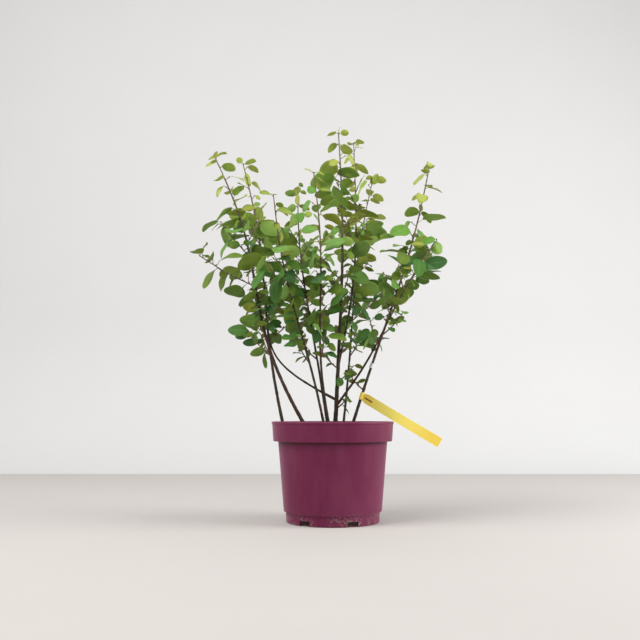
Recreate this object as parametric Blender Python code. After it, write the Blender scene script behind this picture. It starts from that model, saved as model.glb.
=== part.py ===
"""Saskatoon serviceberry in a nursery pot: a young multi-stemmed shrub, its pot, soil, label and tie.

Metres, +Z up. The origin is the centre of the pot's flat underside. -Y is the front, +X the right.
Every stem is one curve from the soil to its tip. Its lower part is a bare limb, and where the leaves
start a mass of leaves grows on along the same curve by a seeded rule.
"""

import math
from collections import namedtuple
from random import Random

import bmesh
import bpy
import numpy as np

GAP = 0.0003

# Pot: outer radii and heights from the underside up
POT_HEIGHT = 0.1806
POT_SIDES = 48
FOOT_RADIUS = 0.0850
FOOT_HEIGHT = 0.0180
BODY_RADIUS_LOW = 0.0894
BODY_RADIUS_TOP = 0.1003
BAND_BOTTOM = 0.1450
BAND_RADIUS_LOW = 0.1093
BAND_RADIUS_TOP = 0.1114
RIM_RADIUS = 0.1125
BEAD_HEIGHT = 0.0050
WALL = 0.0019
FLOOR = 0.0026
NOTCH_COUNT = 6
NOTCH_WIDTH = 0.0210
NOTCH_HEIGHT = 0.0088
NOTCH_DEPTH = 0.0050
NOTCH_TURN = math.radians(-66.5)

# Soil
SOIL_TOP = 0.1603

# Limbs: how thick they are at the tip, how fast they taper and how they flare into the soil
TIP_RADIUS = 0.0009
TAPER = 0.85
FLARE_HEIGHT = 0.014
LIMB_SIDES = 6
LIMB_STEP = 0.045

# Each limb's curve runs from its foot to its tip, pushed aside by a bow and, in X, an S-shaped sway.
# Thick is the radius at the foot, flare what the foot adds, and bare the share that carries no leaves.
Limb = namedtuple("Limb", "foot tip bow sway thick flare bare")
STEMS = {
    "trunk": Limb((0.0045, 0.000), (0.0126, 0.010, 0.7365), (0.0099, 0.012), -0.0017, 0.0041, 0.0016, 0.60),
    "far_left": Limb((-0.0439, -0.012), (-0.2184, -0.045, 0.6681), (-0.0083, -0.010), -0.0135, 0.0034, 0.0012, 0.34),
    "left": Limb((-0.0891, 0.012), (-0.1786, 0.075, 0.6953), (0.0038, -0.010), -0.0062, 0.0030, 0.0010, 0.34),
    "front_left": Limb((-0.0131, -0.020), (-0.1049, -0.125, 0.5751), (-0.0067, 0.012), 0.0043, 0.0025, 0.0008, 0.36),
    "back_left": Limb((-0.0075, 0.018), (-0.0702, 0.150, 0.6695), (-0.0101, -0.015), 0.0034, 0.0025, 0.0008, 0.33),
    "front": Limb((-0.0043, -0.018), (-0.0345, -0.130, 0.6147), (-0.0033, 0.015), -0.0065, 0.0024, 0.0008, 0.36),
    "back_right": Limb((0.0192, 0.022), (0.0893, 0.170, 0.6907), (-0.0100, -0.020), 0.0032, 0.0023, 0.0008, 0.33),
    "right": Limb((0.0324, 0.002), (0.1848, -0.020, 0.6627), (0.0096, 0.012), -0.0033, 0.0029, 0.0010, 0.42),
}
# Boughs fork from the trunk, at this share of its curve.
BOUGHS = {
    "bough_back": (0.210, Limb(None, (0.0463, 0.110, 0.7514), (0.0178, -0.012), 0.0020, 0.0021, 0.0, 0.22)),
    "bough_front_right": (0.085, Limb(None, (0.1743, -0.140, 0.4876), (0.0032, 0.020), 0.0050, 0.0022, 0.0, 0.50)),
    "bough_back_left": (0.103, Limb(None, (-0.1703, 0.160, 0.4389), (-0.0378, -0.020), -0.0168, 0.0021, 0.0, 0.50)),
}

# Masses that stand on a limb's side: limb, share of its curve, direction round it in degrees from +X
# towards +Y, length and the size of its leaves against the others'
SIDE_MASSES = (
    ("far_left", 0.27, 200, 0.060, 0.75),
    ("left", 0.27, 120, 0.065, 0.75),
    ("front_left", 0.30, 235, 0.060, 0.65),
    ("back_left", 0.27, 150, 0.065, 0.80),
    ("front", 0.29, 280, 0.055, 0.75),
    ("trunk", 0.075, 350, 0.030, 0.45),
    ("trunk", 0.160, 20, 0.045, 0.55),
    ("trunk", 0.205, 190, 0.035, 0.55),
    ("trunk", 0.25, 330, 0.055, 0.80),
    ("trunk", 0.32, 200, 0.055, 0.90),
    ("trunk", 0.38, 60, 0.055, 1.00),
    ("trunk", 0.44, 290, 0.055, 1.00),
    ("trunk", 0.50, 170, 0.055, 1.00),
    ("trunk", 0.56, 20, 0.055, 1.00),
    ("back_right", 0.27, 60, 0.065, 0.85),
    ("right", 0.155, 200, 0.034, 0.45),
    ("right", 0.30, 100, 0.050, 0.75),
    ("right", 0.36, 340, 0.055, 0.85),
    ("bough_front_right", 0.40, 250, 0.055, 0.80),
)

# Masses that carry on from a limb's end: how long their longest side twigs are
END_MASSES = {
    "trunk": 0.065,
    "far_left": 0.105,
    "left": 0.080,
    "front_left": 0.080,
    "back_left": 0.080,
    "front": 0.075,
    "back_right": 0.080,
    "right": 0.085,
    "bough_back": 0.065,
    "bough_front_right": 0.080,
    "bough_back_left": 0.085,
}

# Leaves and twigs
LEAF_LENGTH = 0.0445
LOW_LEAF = 0.62
LOW_UNTIL = 0.30
LEAF_THICKNESS = 0.0010
BLADE_RINGS = (0.24, 0.76)
STALK_SHARE = 0.26
STALK_RADIUS = 0.0007
ROOT_RADIUS = 0.00020
LEAF_STEP = 0.023
TWIG_UNTIL = 0.62
TWIG_STEP = 0.029
TWIG_SHARES = (0.18, 1.00)
TWIG_OUTWARD = 0.50
TWIG_RISE = (0.15, 0.85)
SPUR_STEP = 0.016
BLADE_PITCH = -0.20
BLADE_PITCH_SPREAD = 0.42
BLADE_ROLL = 0.60
BLADE_ROLL_SPREAD = 0.50
BLADE_WIDTH = (0.54, 0.76)
BLADE_ROUNDNESS = 0.50
TWIG_RADIUS = 0.0011
SHOOT_SIDES = 3
TWIG_SIDES = 3
GOLDEN_TURN = math.radians(137.5)
TRIES = 14
SPACE_MARGIN = 0.0012
LIMB_CLEARANCE = 0.0055
LEAF_CLEARANCE = 0.0045

# The crown: its reach to the left and right, and to front and back, at heights from its lowest leaf up
CROWN = np.array(
    (
        (0.190, -0.030, 0.095, 0.080),
        (0.270, -0.130, 0.085, 0.120),
        (0.330, -0.185, 0.112, 0.160),
        (0.400, -0.235, 0.172, 0.200),
        (0.450, -0.275, 0.213, 0.215),
        (0.510, -0.290, 0.233, 0.220),
        (0.590, -0.270, 0.231, 0.215),
        (0.670, -0.257, 0.230, 0.205),
        (0.758, -0.230, 0.210, 0.150),
    )
)
CROWN_SQUARENESS = 2.4

# Label and tie on the right-hand stem: how high up it they sit, as heights from the pot's underside
COLLAR_SIDES = 16
COLLAR_CLEARANCE = 0.0004
LABEL_HEIGHT = 0.2272
LABEL_END = (0.1896, -0.0550, 0.1432)
LABEL_WIDTH = 0.0180
LABEL_NECK = 0.0140
LABEL_SHOULDER = 0.0110
LABEL_THICKNESS = 0.0007
TIE_HEIGHT = 0.2835
TIE_LENGTH = 0.0090
TIE_THICKNESS = 0.0009

UP = np.array((0.0, 0.0, 1.0))
LEVEL = np.array((1.0, 1.0, 0.0))


def unit(vector):
    """The vector at length one."""
    return vector / np.linalg.norm(vector)


def clear_scene():
    for old in list(bpy.data.objects):
        bpy.data.objects.remove(old, do_unlink=True)


def plain_material(name, colour, roughness, metallic=0.0):
    material = bpy.data.materials.new(name)
    material.use_nodes = True
    shader = material.node_tree.nodes["Principled BSDF"]
    shader.inputs["Base Color"].default_value = (*colour, 1.0)
    shader.inputs["Roughness"].default_value = roughness
    shader.inputs["Metallic"].default_value = metallic
    return material


def materials():
    return {
        "pot": plain_material("pot_plastic", (0.130, 0.026, 0.056), 0.55),
        "soil": plain_material("potting_soil", (0.030, 0.020, 0.014), 0.95),
        "bark": plain_material("bark", (0.065, 0.036, 0.027), 0.80),
        "leaf": plain_material("leaf_green", (0.090, 0.190, 0.045), 0.55),
        "label": plain_material("label_plastic", (0.850, 0.600, 0.080), 0.40),
        "tie": plain_material("tie_plastic", (0.850, 0.850, 0.830), 0.50),
    }


def add_object(name, mesh, material):
    piece = bpy.data.objects.new(name, mesh)
    bpy.context.scene.collection.objects.link(piece)
    if material is not None:
        mesh.materials.append(material)
    return piece


def mesh_from(name, points, faces):
    mesh = bpy.data.meshes.new(name)
    mesh.from_pydata([tuple(p) for p in points], [], faces)
    mesh.validate()
    return mesh


def turned(name, profile, material):
    """A closed solid of revolution about Z. The profile runs from the axis out, up and back to the axis."""
    shape = bmesh.new()
    ring = [shape.verts.new((radius, 0.0, height)) for radius, height in profile]
    edges = [shape.edges.new(pair) for pair in zip(ring, ring[1:])]
    bmesh.ops.spin(
        shape,
        geom=ring + edges,
        cent=(0.0, 0.0, 0.0),
        axis=(0.0, 0.0, 1.0),
        angle=math.tau,
        steps=POT_SIDES,
        use_merge=True,
    )
    bmesh.ops.remove_doubles(shape, verts=shape.verts, dist=1e-6)
    bmesh.ops.recalc_face_normals(shape, faces=shape.faces)
    mesh = bpy.data.meshes.new(name)
    shape.to_mesh(mesh)
    shape.free()
    mesh.shade_smooth()
    mesh.set_sharp_from_angle(angle=math.radians(35))
    return add_object(name, mesh, material)


def apply_boolean(piece, operation, tool, solver="EXACT"):
    """Join or cut the piece by an object or a collection, and remove what it was cut with."""
    modifier = piece.modifiers.new("join", "BOOLEAN")
    modifier.operation = operation
    modifier.solver = solver
    if isinstance(tool, bpy.types.Collection):
        modifier.operand_type = "COLLECTION"
        modifier.collection = tool
        helpers = list(tool.objects)
    else:
        modifier.object = tool
        helpers = [tool]
    bpy.context.view_layer.objects.active = piece
    bpy.ops.object.modifier_apply(modifier=modifier.name)
    for helper in helpers:
        bpy.data.objects.remove(helper, do_unlink=True)
    if isinstance(tool, bpy.types.Collection):
        bpy.data.collections.remove(tool)


def outer_profile():
    """The pot's outside from the centre of its underside to the top of the rim's bead."""
    return [
        (0.0, 0.0),
        (FOOT_RADIUS - 0.0010, 0.0),
        (FOOT_RADIUS, 0.0010),
        (FOOT_RADIUS + 0.0004, FOOT_HEIGHT),
        (BODY_RADIUS_LOW, FOOT_HEIGHT + 0.0016),
        (BODY_RADIUS_TOP, BAND_BOTTOM),
        (BAND_RADIUS_LOW, BAND_BOTTOM),
        (BAND_RADIUS_TOP, POT_HEIGHT - BEAD_HEIGHT),
        (RIM_RADIUS, POT_HEIGHT - BEAD_HEIGHT + 0.0008),
        (RIM_RADIUS, POT_HEIGHT - 0.0012),
        (RIM_RADIUS - 0.0012, POT_HEIGHT),
    ]


def inner_profile(inset=0.0):
    """The pot's inside from the shoulder under its band down to its floor, moved in by the inset."""
    wall = WALL + inset
    return [
        (BAND_RADIUS_LOW - wall, BAND_BOTTOM + wall),
        (BODY_RADIUS_TOP - wall, BAND_BOTTOM + wall),
        (BODY_RADIUS_LOW - wall, FOOT_HEIGHT + wall),
        (FOOT_RADIUS - wall, FOOT_HEIGHT + wall),
        (FOOT_RADIUS - wall, FLOOR + inset),
        (0.0, FLOOR + inset),
    ]


def inner_band_radius(height, inset=0.0):
    """The inside radius of the pot's band at this height."""
    share = (height - BAND_BOTTOM) / (POT_HEIGHT - BEAD_HEIGHT - BAND_BOTTOM)
    return BAND_RADIUS_LOW + (BAND_RADIUS_TOP - BAND_RADIUS_LOW) * share - WALL - inset


def make_pot(material):
    inner = inner_band_radius(POT_HEIGHT)
    lip = [(inner - 0.0004, POT_HEIGHT), (inner, POT_HEIGHT - 0.003)]
    pot = turned("pot", outer_profile() + lip + inner_profile(), material)
    for number in range(NOTCH_COUNT):
        angle = NOTCH_TURN + number * math.tau / NOTCH_COUNT
        middle = FOOT_RADIUS - NOTCH_DEPTH + 0.010
        bpy.ops.mesh.primitive_cube_add(
            size=1.0,
            location=(middle * math.cos(angle), middle * math.sin(angle), 0.0),
            rotation=(0.0, 0.0, angle),
            scale=(0.020, NOTCH_WIDTH, 2.0 * NOTCH_HEIGHT),
        )
        apply_boolean(pot, "DIFFERENCE", bpy.context.object)
    return pot


def make_soil(material):
    top = [(0.0, SOIL_TOP), (inner_band_radius(SOIL_TOP, GAP), SOIL_TOP)]
    profile = top + inner_profile(GAP)
    return turned("soil", profile[::-1], material)


def along(limb, share):
    """Points of a limb's curve at these shares of its rise, as an array."""
    share = np.atleast_1d(np.asarray(share, float))[:, None]
    foot = np.array(limb.foot)
    bow = np.array((limb.bow[0], limb.bow[1], 0.0))
    sway = np.array((limb.sway, 0.0, 0.0))
    straight = foot + (np.array(limb.tip) - foot) * share
    return straight + bow * np.sin(math.pi * share) + sway * np.sin(math.tau * share)


def thickness(limb, share):
    """The limb's radius at these shares, with the flare at its foot."""
    share = np.atleast_1d(np.asarray(share, float))
    rise = share * (limb.tip[2] - limb.foot[2])
    taper = TIP_RADIUS + (limb.thick - TIP_RADIUS) * (1.0 - share) ** TAPER
    return taper + limb.flare * np.exp(-rise / FLARE_HEIGHT)


def all_limbs():
    """Every limb by name, with the stems' feet on the soil and the boughs' on the trunk's axis."""
    limbs = {}
    for name, stem in STEMS.items():
        limbs[name] = stem._replace(foot=(*stem.foot, SOIL_TOP + GAP))
    for name, (fork, bough) in BOUGHS.items():
        limbs[name] = bough._replace(foot=tuple(along(limbs["trunk"], fork)[0]))
    return limbs


def frames(path, first=None):
    """Tangents along a path and two directions across it at each point."""
    tangent = np.gradient(path, axis=0)
    tangent /= np.linalg.norm(tangent, axis=1)[:, None]
    if first is not None:
        tangent[0] = first
    mean = np.abs(path[-1] - path[0])
    reference = np.eye(3)[int(np.argmin(mean))]
    side = np.cross(tangent, reference)
    side /= np.linalg.norm(side, axis=1)[:, None]
    return tangent, side, np.cross(tangent, side)


def tube(path, radii, sides, first=None):
    """Points and faces of a closed tapering tube: a ring of corners at each point of the path."""
    _, side, other = frames(path, first)
    angle = np.arange(sides) * math.tau / sides
    ring = np.cos(angle)[None, :, None] * side[:, None] + np.sin(angle)[None, :, None] * other[:, None]
    points = (path[:, None] + ring * np.asarray(radii)[:, None, None]).reshape(-1, 3)
    rings = len(path)
    faces = [tuple(reversed(range(sides)))]
    for row in range(rings - 1):
        for corner in range(sides):
            follow = (corner + 1) % sides
            low = row * sides
            faces.append((low + corner, low + follow, low + sides + follow, low + sides + corner))
    faces.append(tuple(range((rings - 1) * sides, rings * sides)))
    return points, faces


def facing_out(mesh):
    shape = bmesh.new()
    shape.from_mesh(mesh)
    bmesh.ops.recalc_face_normals(shape, faces=shape.faces)
    shape.to_mesh(mesh)
    shape.free()


def limb_shares(limb, low, high, step=LIMB_STEP):
    """Even shares of a limb's curve from low to high, about a step apart."""
    length = np.linalg.norm(along(limb, high)[0] - along(limb, low)[0])
    return np.linspace(low, high, max(3, int(round(length / step)) + 1))


def limb_path(limb):
    """The corners of a made limb's centre line, and their shares of its curve."""
    shares = limb_shares(limb, 0.0, limb.bare)
    if limb.flare:
        shares = np.insert(shares, 1, (0.02, 0.05))
    return along(limb, shares), shares


def make_limb(name, limb, material, extra=0.0):
    """A stem from its flat cut on the soil, or a bough from the trunk's axis, to where its leaves start."""
    path, shares = limb_path(limb)
    path[-1] -= unit(path[-1] - path[-2]) * GAP / 2.0
    first = UP if limb.flare else None
    points, faces = tube(path, thickness(limb, shares) + extra, LIMB_SIDES, first)
    mesh = mesh_from(name, points, faces)
    facing_out(mesh)
    mesh.shade_smooth()
    mesh.set_sharp_from_angle(angle=math.radians(50))
    return add_object(name, mesh, material)


def make_bough(name, limb, trunk, material):
    """A bough that is cut away to a gap's width from the trunk it forks from."""
    bough = make_limb(name, limb, material)
    cutter = make_limb("cutter", trunk, None, GAP / math.cos(math.pi / LIMB_SIDES))
    apply_boolean(bough, "DIFFERENCE", cutter)
    return bough


def place_on(limb, height):
    """Where a made limb's centre line passes this height, which way it runs there and its radius."""
    path, shares = limb_path(limb)
    row = int(np.searchsorted(path[:, 2], height)) - 1
    way = (height - path[row, 2]) / (path[row + 1, 2] - path[row, 2])
    radii = thickness(limb, shares)
    centre = path[row] + (path[row + 1] - path[row]) * way
    return centre, unit(path[row + 1] - path[row]), radii[row] + (radii[row + 1] - radii[row]) * way


def collar(name, centre, axis, inner, wall, height, material):
    """A round sleeve about an axis."""
    side = unit(np.cross(axis, (0.0, 1.0, 0.0)))
    other = np.cross(axis, side)
    angle = np.arange(COLLAR_SIDES) * math.tau / COLLAR_SIDES
    ring = np.cos(angle)[:, None] * side + np.sin(angle)[:, None] * other
    corners = ((inner, -0.5), (inner + wall, -0.5), (inner + wall, 0.5), (inner, 0.5))
    points = np.concatenate([centre + ring * radius + axis * height * end for radius, end in corners])
    faces = []
    for row in range(4):
        for corner in range(COLLAR_SIDES):
            follow = (corner + 1) % COLLAR_SIDES
            low, high = row * COLLAR_SIDES, (row + 1) % 4 * COLLAR_SIDES
            faces.append((low + corner, low + follow, high + follow, high + corner))
    mesh = mesh_from(name, points, faces)
    facing_out(mesh)
    return add_object(name, mesh, material)


def make_label(limb, material):
    """A thin strip whose loop hangs round the stem. The strip rests on the pot's rim and points outwards."""
    centre, axis, radius = place_on(limb, LABEL_HEIGHT)
    inner = radius + COLLAR_CLEARANCE
    label = collar("label_strip", centre, axis, inner, LABEL_THICKNESS, LABEL_NECK, material)
    run = np.array(LABEL_END) - centre
    length = np.linalg.norm(run)
    run = unit(run)
    width = unit(UP - run * run[2])
    normal = np.cross(run, width)
    start = inner + LABEL_THICKNESS / 2.0
    neck = LABEL_NECK * 0.45
    lean = neck * (axis @ run) / (axis @ width)
    half = LABEL_WIDTH / 2.0
    outline = [(start + lean, neck), (LABEL_SHOULDER, half), (length, half)]
    outline += [(length, -half), (LABEL_SHOULDER, -half), (start - lean, -neck)]
    points = [
        centre + run * reach + width * half + normal * LABEL_THICKNESS * side
        for side in (-0.5, 0.5)
        for reach, half in outline
    ]
    count = len(outline)
    faces = [tuple(range(count)), tuple(range(2 * count - 1, count - 1, -1))]
    faces += [(row, (row + 1) % count, count + (row + 1) % count, count + row) for row in range(count)]
    mesh = mesh_from("strip", points, faces)
    facing_out(mesh)
    apply_boolean(label, "UNION", add_object("strip", mesh, None))
    return label


def make_tie(limb, material):
    """A short pale tie round the stem."""
    centre, axis, radius = place_on(limb, TIE_HEIGHT)
    return collar("stem_tie", centre, axis, radius + COLLAR_CLEARANCE, TIE_THICKNESS, TIE_LENGTH, material)


Mass = namedtuple("Mass", "name limb path radii seed twig leaf")


def all_masses(limbs):
    """Every mass of leaves, whose seed is its own number.

    It has its stem's path and radii, the length of its longest side twig and its leaves' size.
    """
    masses = []
    for name, limb in limbs.items():
        shares = limb_shares(limb, limb.bare, 1.0)
        path = along(limb, shares)
        path[0] += unit(path[1] - path[0]) * GAP / 2.0
        radii = thickness(limb, shares)
        masses.append(Mass("leaves_" + name, name, path, radii, len(masses) + 1, END_MASSES[name], 1.0))
    for number, (name, share, turn, length, leaf) in enumerate(SIDE_MASSES, 1):
        limb = limbs[name]
        turn = math.radians(turn)
        out = np.array((math.cos(turn), math.sin(turn), 0.0))
        reach = np.linspace(0.0, 1.0, 4)[:, None]
        path = along(limb, share) + length * (out * 0.72 * reach + UP * (0.45 * reach + 0.25 * reach**2))
        radii = np.linspace(0.0015, TIP_RADIUS, 4)
        masses.append(Mass(f"leaves_side_{number:02d}", name, path, radii, len(masses) + 1, 0.0, leaf))
    return masses


def segments(path):
    return path[:-1], path[1:] - path[:-1]


def distance_to(points, start, step):
    """Distances from each point to each segment, as an array of points by segments."""
    offset = points[:, None] - start[None]
    share = np.clip((offset * step[None]).sum(2) / (step * step).sum(1)[None], 0.0, 1.0)
    return np.linalg.norm(offset - share[..., None] * step[None], axis=2)


def inside_crown(points):
    """Whether every point lies inside the crown, which is a squarish oval in plan."""
    left, right, depth = [np.interp(points[:, 2], CROWN[:, 0], CROWN[:, row]) for row in (1, 2, 3)]
    sideways = np.abs(points[:, 0] - 0.5 * (left + right)) / (0.5 * (right - left))
    oval = sideways**CROWN_SQUARENESS + (np.abs(points[:, 1]) / depth) ** CROWN_SQUARENESS
    low, high = CROWN[0, 0], CROWN[-1, 0]
    return bool(((oval < 1.0) & (points[:, 2] > low) & (points[:, 2] < high)).all())


class Space:
    """Which mass a point belongs to, by the nearest mass's stem, and how near the limbs are."""

    def __init__(self, limbs, masses):
        starts, steps, owners = [], [], []
        for number, mass in enumerate(masses):
            start, step = segments(mass.path)
            starts.append(start)
            steps.append(step)
            owners += [number] * len(start)
        self.start = np.concatenate(starts)
        self.step = np.concatenate(steps)
        self.owner = np.array(owners)
        starts, steps = [], []
        for limb in limbs.values():
            start, step = segments(along(limb, limb_shares(limb, 0.0, limb.bare)))
            starts.append(start)
            steps.append(step)
        self.limb_start = np.concatenate(starts)
        self.limb_step = np.concatenate(steps)

    def holds(self, points, number):
        """True if every point is in this mass's space, clear of the limbs and inside the crown."""
        if not inside_crown(points):
            return False
        if distance_to(points, self.limb_start, self.limb_step).min() < LIMB_CLEARANCE:
            return False
        reach = distance_to(points, self.start, self.step)
        own = reach[:, self.owner == number].min(1)
        other = reach[:, self.owner != number].min(1)
        return bool((own + SPACE_MARGIN < other).all())


Leaf = namedtuple("Leaf", "root neck along across up length width arch age")
Twig = namedtuple("Twig", "path radii")


def level(angle):
    """The horizontal direction at this angle from +X towards +Y."""
    return np.array((math.cos(angle), math.sin(angle), 0.0))


def leaf_at(rng, root, turn, age, scale):
    """One leaf on its stalk: the stalk rises, and the blade levels off and tilts its face out of the crown."""
    length = LEAF_LENGTH * rng.uniform(0.78, 1.18) * scale
    rise = rng.uniform(0.20, 1.00)
    out = level(turn)
    neck = root + (out * math.cos(rise) + UP * math.sin(rise)) * length * STALK_SHARE
    out = level(turn + rng.gauss(0.0, 0.35))
    pitch = rng.gauss(BLADE_PITCH, BLADE_PITCH_SPREAD)
    blade = out * math.cos(pitch) + UP * math.sin(pitch)
    across = unit(np.cross(blade, UP))
    upward = np.cross(across, blade)
    roll = math.copysign(rng.gauss(BLADE_ROLL, BLADE_ROLL_SPREAD), -(across @ root))
    across = across * math.cos(roll) + upward * math.sin(roll)
    upward = np.cross(across, blade)
    width = length * rng.uniform(*BLADE_WIDTH)
    return Leaf(root, neck, blade, across, upward, length, width, rng.uniform(0.04, 0.16), age)


def blade_points(leaf, grid):
    """Points of a blade: u runs from its stalk to its tip, and v from edge to edge."""
    u, v = grid[:, 0:1], grid[:, 1:2]
    half = 0.5 * leaf.width * np.sin(math.pi * u**0.85) ** BLADE_ROUNDNESS
    sag = leaf.arch * leaf.length * u * (2.0 * u - 1.0)
    return leaf.neck + leaf.along * leaf.length * u + leaf.across * half * v - leaf.up * sag


BLADE_REACHES = (0.02, 0.2, 0.4, 0.6, 0.8, 1.0)
BLADE_GRID = np.array([(u, v) for u in BLADE_REACHES for v in (-1.0, -0.5, 0.0, 0.5, 1.0)])


class Shoot:
    """A path that can be read at any length along it."""

    def __init__(self, path):
        self.path = path
        self.lengths = np.concatenate(([0.0], np.cumsum(np.linalg.norm(np.diff(path, axis=0), axis=1))))
        self.total = self.lengths[-1]

    def at(self, reach):
        return np.array([np.interp(reach, self.lengths, self.path[:, axis]) for axis in range(3)])


class Growth:
    """The leaves and twigs of one mass, each kept only where it fits the mass's space."""

    def __init__(self, mass, number, space):
        self.rng = Random(mass.seed)
        self.number = number
        self.space = space
        self.twigs = []
        self.leaves = []
        self.taken = np.empty((0, 3))

    def add_leaf(self, root, turn, age, scale):
        """Tries the leaf at angle after angle, smaller after half the tries, and skips it if none fits."""
        for attempt in range(TRIES):
            size = scale if attempt < TRIES // 2 else 0.78 * scale
            leaf = leaf_at(self.rng, root, turn + attempt * 0.45, age, size)
            grid = blade_points(leaf, BLADE_GRID)
            if not self.space.holds(grid, self.number):
                continue
            if len(self.taken):
                if distances(grid, self.taken).min() < LEAF_CLEARANCE:
                    continue
            self.taken = np.concatenate((self.taken, grid))
            self.leaves.append(leaf)
            return

    def add_twig(self, root, turn, length, age, size):
        """A side twig that curves up, longer where it points out of the crown, with leaves to its end."""
        way = np.linspace(0.0, 1.0, 3)[:, None]
        for attempt in range(TRIES // 2):
            out = level(turn + attempt * 0.8)
            rise = self.rng.uniform(*TWIG_RISE)
            reach = length * 0.88**attempt * (1.0 + TWIG_OUTWARD * (out @ unit(root * LEVEL)))
            path = root + reach * (out * math.cos(rise) * way + UP * (math.sin(rise) + 0.15 * way) * way)
            if self.space.holds(path[1:], self.number):
                self.twigs.append(Twig(path, np.linspace(TWIG_RADIUS, TIP_RADIUS, 3)))
                shoot = Shoot(path)
                self.leaves_along(shoot, min(0.009, 0.4 * reach), age, turn, size)
                self.add_leaf(path[-1] - unit(path[-1] - path[-2]) * 0.0012, turn + 0.4, age, size)
                return

    def leaves_along(self, shoot, reach, age, turn, size):
        while reach < shoot.total - 0.004:
            turn += GOLDEN_TURN + self.rng.uniform(-0.3, 0.3)
            self.add_leaf(shoot.at(reach), turn, age, size)
            reach += SPUR_STEP * size * self.rng.uniform(0.8, 1.2)

    def run(self, mass):
        """Leafy twigs on the lower part of the mass's stem, and single leaves up to its tip."""
        shoot = Shoot(mass.path)
        rng = self.rng
        turn = rng.uniform(0.0, math.tau)
        step = LEAF_STEP * mass.leaf
        reach = step * (0.5 if mass.twig else 0.8)
        while reach < shoot.total - 0.006:
            turn += GOLDEN_TURN + rng.uniform(-0.25, 0.25)
            age = reach / shoot.total
            if mass.twig and age < TWIG_UNTIL:
                length = mass.twig * rng.uniform(*TWIG_SHARES) * (1.0 - 0.4 * age)
                size = LOW_LEAF + (1.0 - LOW_LEAF) * min(1.0, age / LOW_UNTIL)
                self.add_twig(shoot.at(reach), turn, length, age, size)
                reach += TWIG_STEP * rng.uniform(0.8, 1.2)
            else:
                young = 1.0 - max(0.0, age - 0.55) if mass.twig else mass.leaf
                self.add_leaf(shoot.at(reach), turn, age, young)
                reach += step * rng.uniform(0.8, 1.2)
        for turns in (1, 2):
            young = 0.50 if mass.twig else 0.85 * mass.leaf
            tip = shoot.at(shoot.total - 0.0015 * turns)
            self.add_leaf(tip, turn + GOLDEN_TURN * turns, 1.0, young * rng.uniform(0.8, 1.2))
        return self


def distances(points, others):
    """Distances from each point to each of the others."""
    gap = points[:, None] - others[None]
    return np.sqrt(np.einsum("ijk,ijk->ij", gap, gap))


def grow(mass, number, space):
    """Twigs and leaves of one mass, from its seed."""
    growth = Growth(mass, number, space).run(mass)
    return growth.twigs, growth.leaves


def leaf_solid(leaf):
    """A closed leaf of three-cornered rings, flat on top with a keel below: a stalk, a blade and a tip."""
    axis = unit(unit(leaf.neck - leaf.root) + leaf.along)
    side = unit(leaf.across - axis * (leaf.across @ axis))
    rise = np.cross(side, axis)
    rings = [
        (leaf.root, side * ROOT_RADIUS, rise * ROOT_RADIUS),
        (leaf.neck, side * STALK_RADIUS, rise * STALK_RADIUS),
    ]
    corners = []
    for centre, across, up in rings:
        corners += [centre - across + 0.5 * up, centre + across + 0.5 * up, centre - up]
    grid = np.array([(u, v) for u in BLADE_RINGS for v in (-1.0, 1.0, 0.0)])
    for left, right, middle in blade_points(leaf, grid).reshape(-1, 3, 3):
        corners += [left, right, middle - leaf.up * LEAF_THICKNESS]
    corners.append(blade_points(leaf, np.array(((1.0, 0.0),)))[0])
    faces = [(0, 1, 2)]
    for low in range(0, len(corners) - 4, 3):
        for corner in range(3):
            follow = (corner + 1) % 3
            faces.append((low + corner, low + 3 + corner, low + 3 + follow, low + follow))
    last = len(corners) - 1
    faces += [(last - 3 + corner, last, last - 3 + (corner + 1) % 3) for corner in range(3)]
    return corners, faces


def make_mass(mass, number, space, limbs, material):
    twigs, leaves = grow(mass, number, space)
    points, faces = tube(mass.path, mass.radii, SHOOT_SIDES)
    mesh = mesh_from(mass.name, points, faces)
    facing_out(mesh)
    piece = add_object(mass.name, mesh, material)
    if not mass.twig:
        cutter = make_limb("cutter", limbs[mass.limb], None, GAP / math.cos(math.pi / LIMB_SIDES))
        apply_boolean(piece, "DIFFERENCE", cutter)
    parts = bpy.data.collections.new(mass.name)
    bpy.context.scene.collection.children.link(parts)
    for points, faces in [tube(twig.path, twig.radii, TWIG_SIDES) for twig in twigs] + [
        leaf_solid(leaf) for leaf in leaves
    ]:
        mesh = mesh_from("part", points, faces)
        facing_out(mesh)
        parts.objects.link(bpy.data.objects.new("part", mesh))
    apply_boolean(piece, "UNION", parts, "MANIFOLD")
    tidy_union(piece)


def islands_of(shape):
    """The vertices of each joined body, smallest body first."""
    left = set(shape.verts)
    islands = []
    while left:
        queue = [left.pop()]
        island = list(queue)
        while queue:
            vert = queue.pop()
            for edge in vert.link_edges:
                other = edge.other_vert(vert)
                if other in left:
                    left.remove(other)
                    queue.append(other)
                    island.append(other)
        islands.append(island)
    return sorted(islands, key=len)


def tidy_union(piece):
    """Drop loose scraps, and corners that only two edges meet at, which a union leaves along its seams."""
    shape = bmesh.new()
    shape.from_mesh(piece.data)
    for island in islands_of(shape)[:-1]:
        bmesh.ops.delete(shape, geom=island, context="VERTS")
    for vert in list(shape.verts):
        if len(vert.link_edges) != 2 or min(len(face.verts) for face in vert.link_faces) < 4:
            continue
        ends = [edge.other_vert(vert) for edge in vert.link_edges]
        if not any(edge.other_vert(ends[0]) is ends[1] for edge in ends[0].link_edges):
            bmesh.ops.dissolve_verts(shape, verts=[vert])
    bmesh.ops.triangulate(shape, faces=shape.faces)
    shape.to_mesh(piece.data)
    shape.free()


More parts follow.
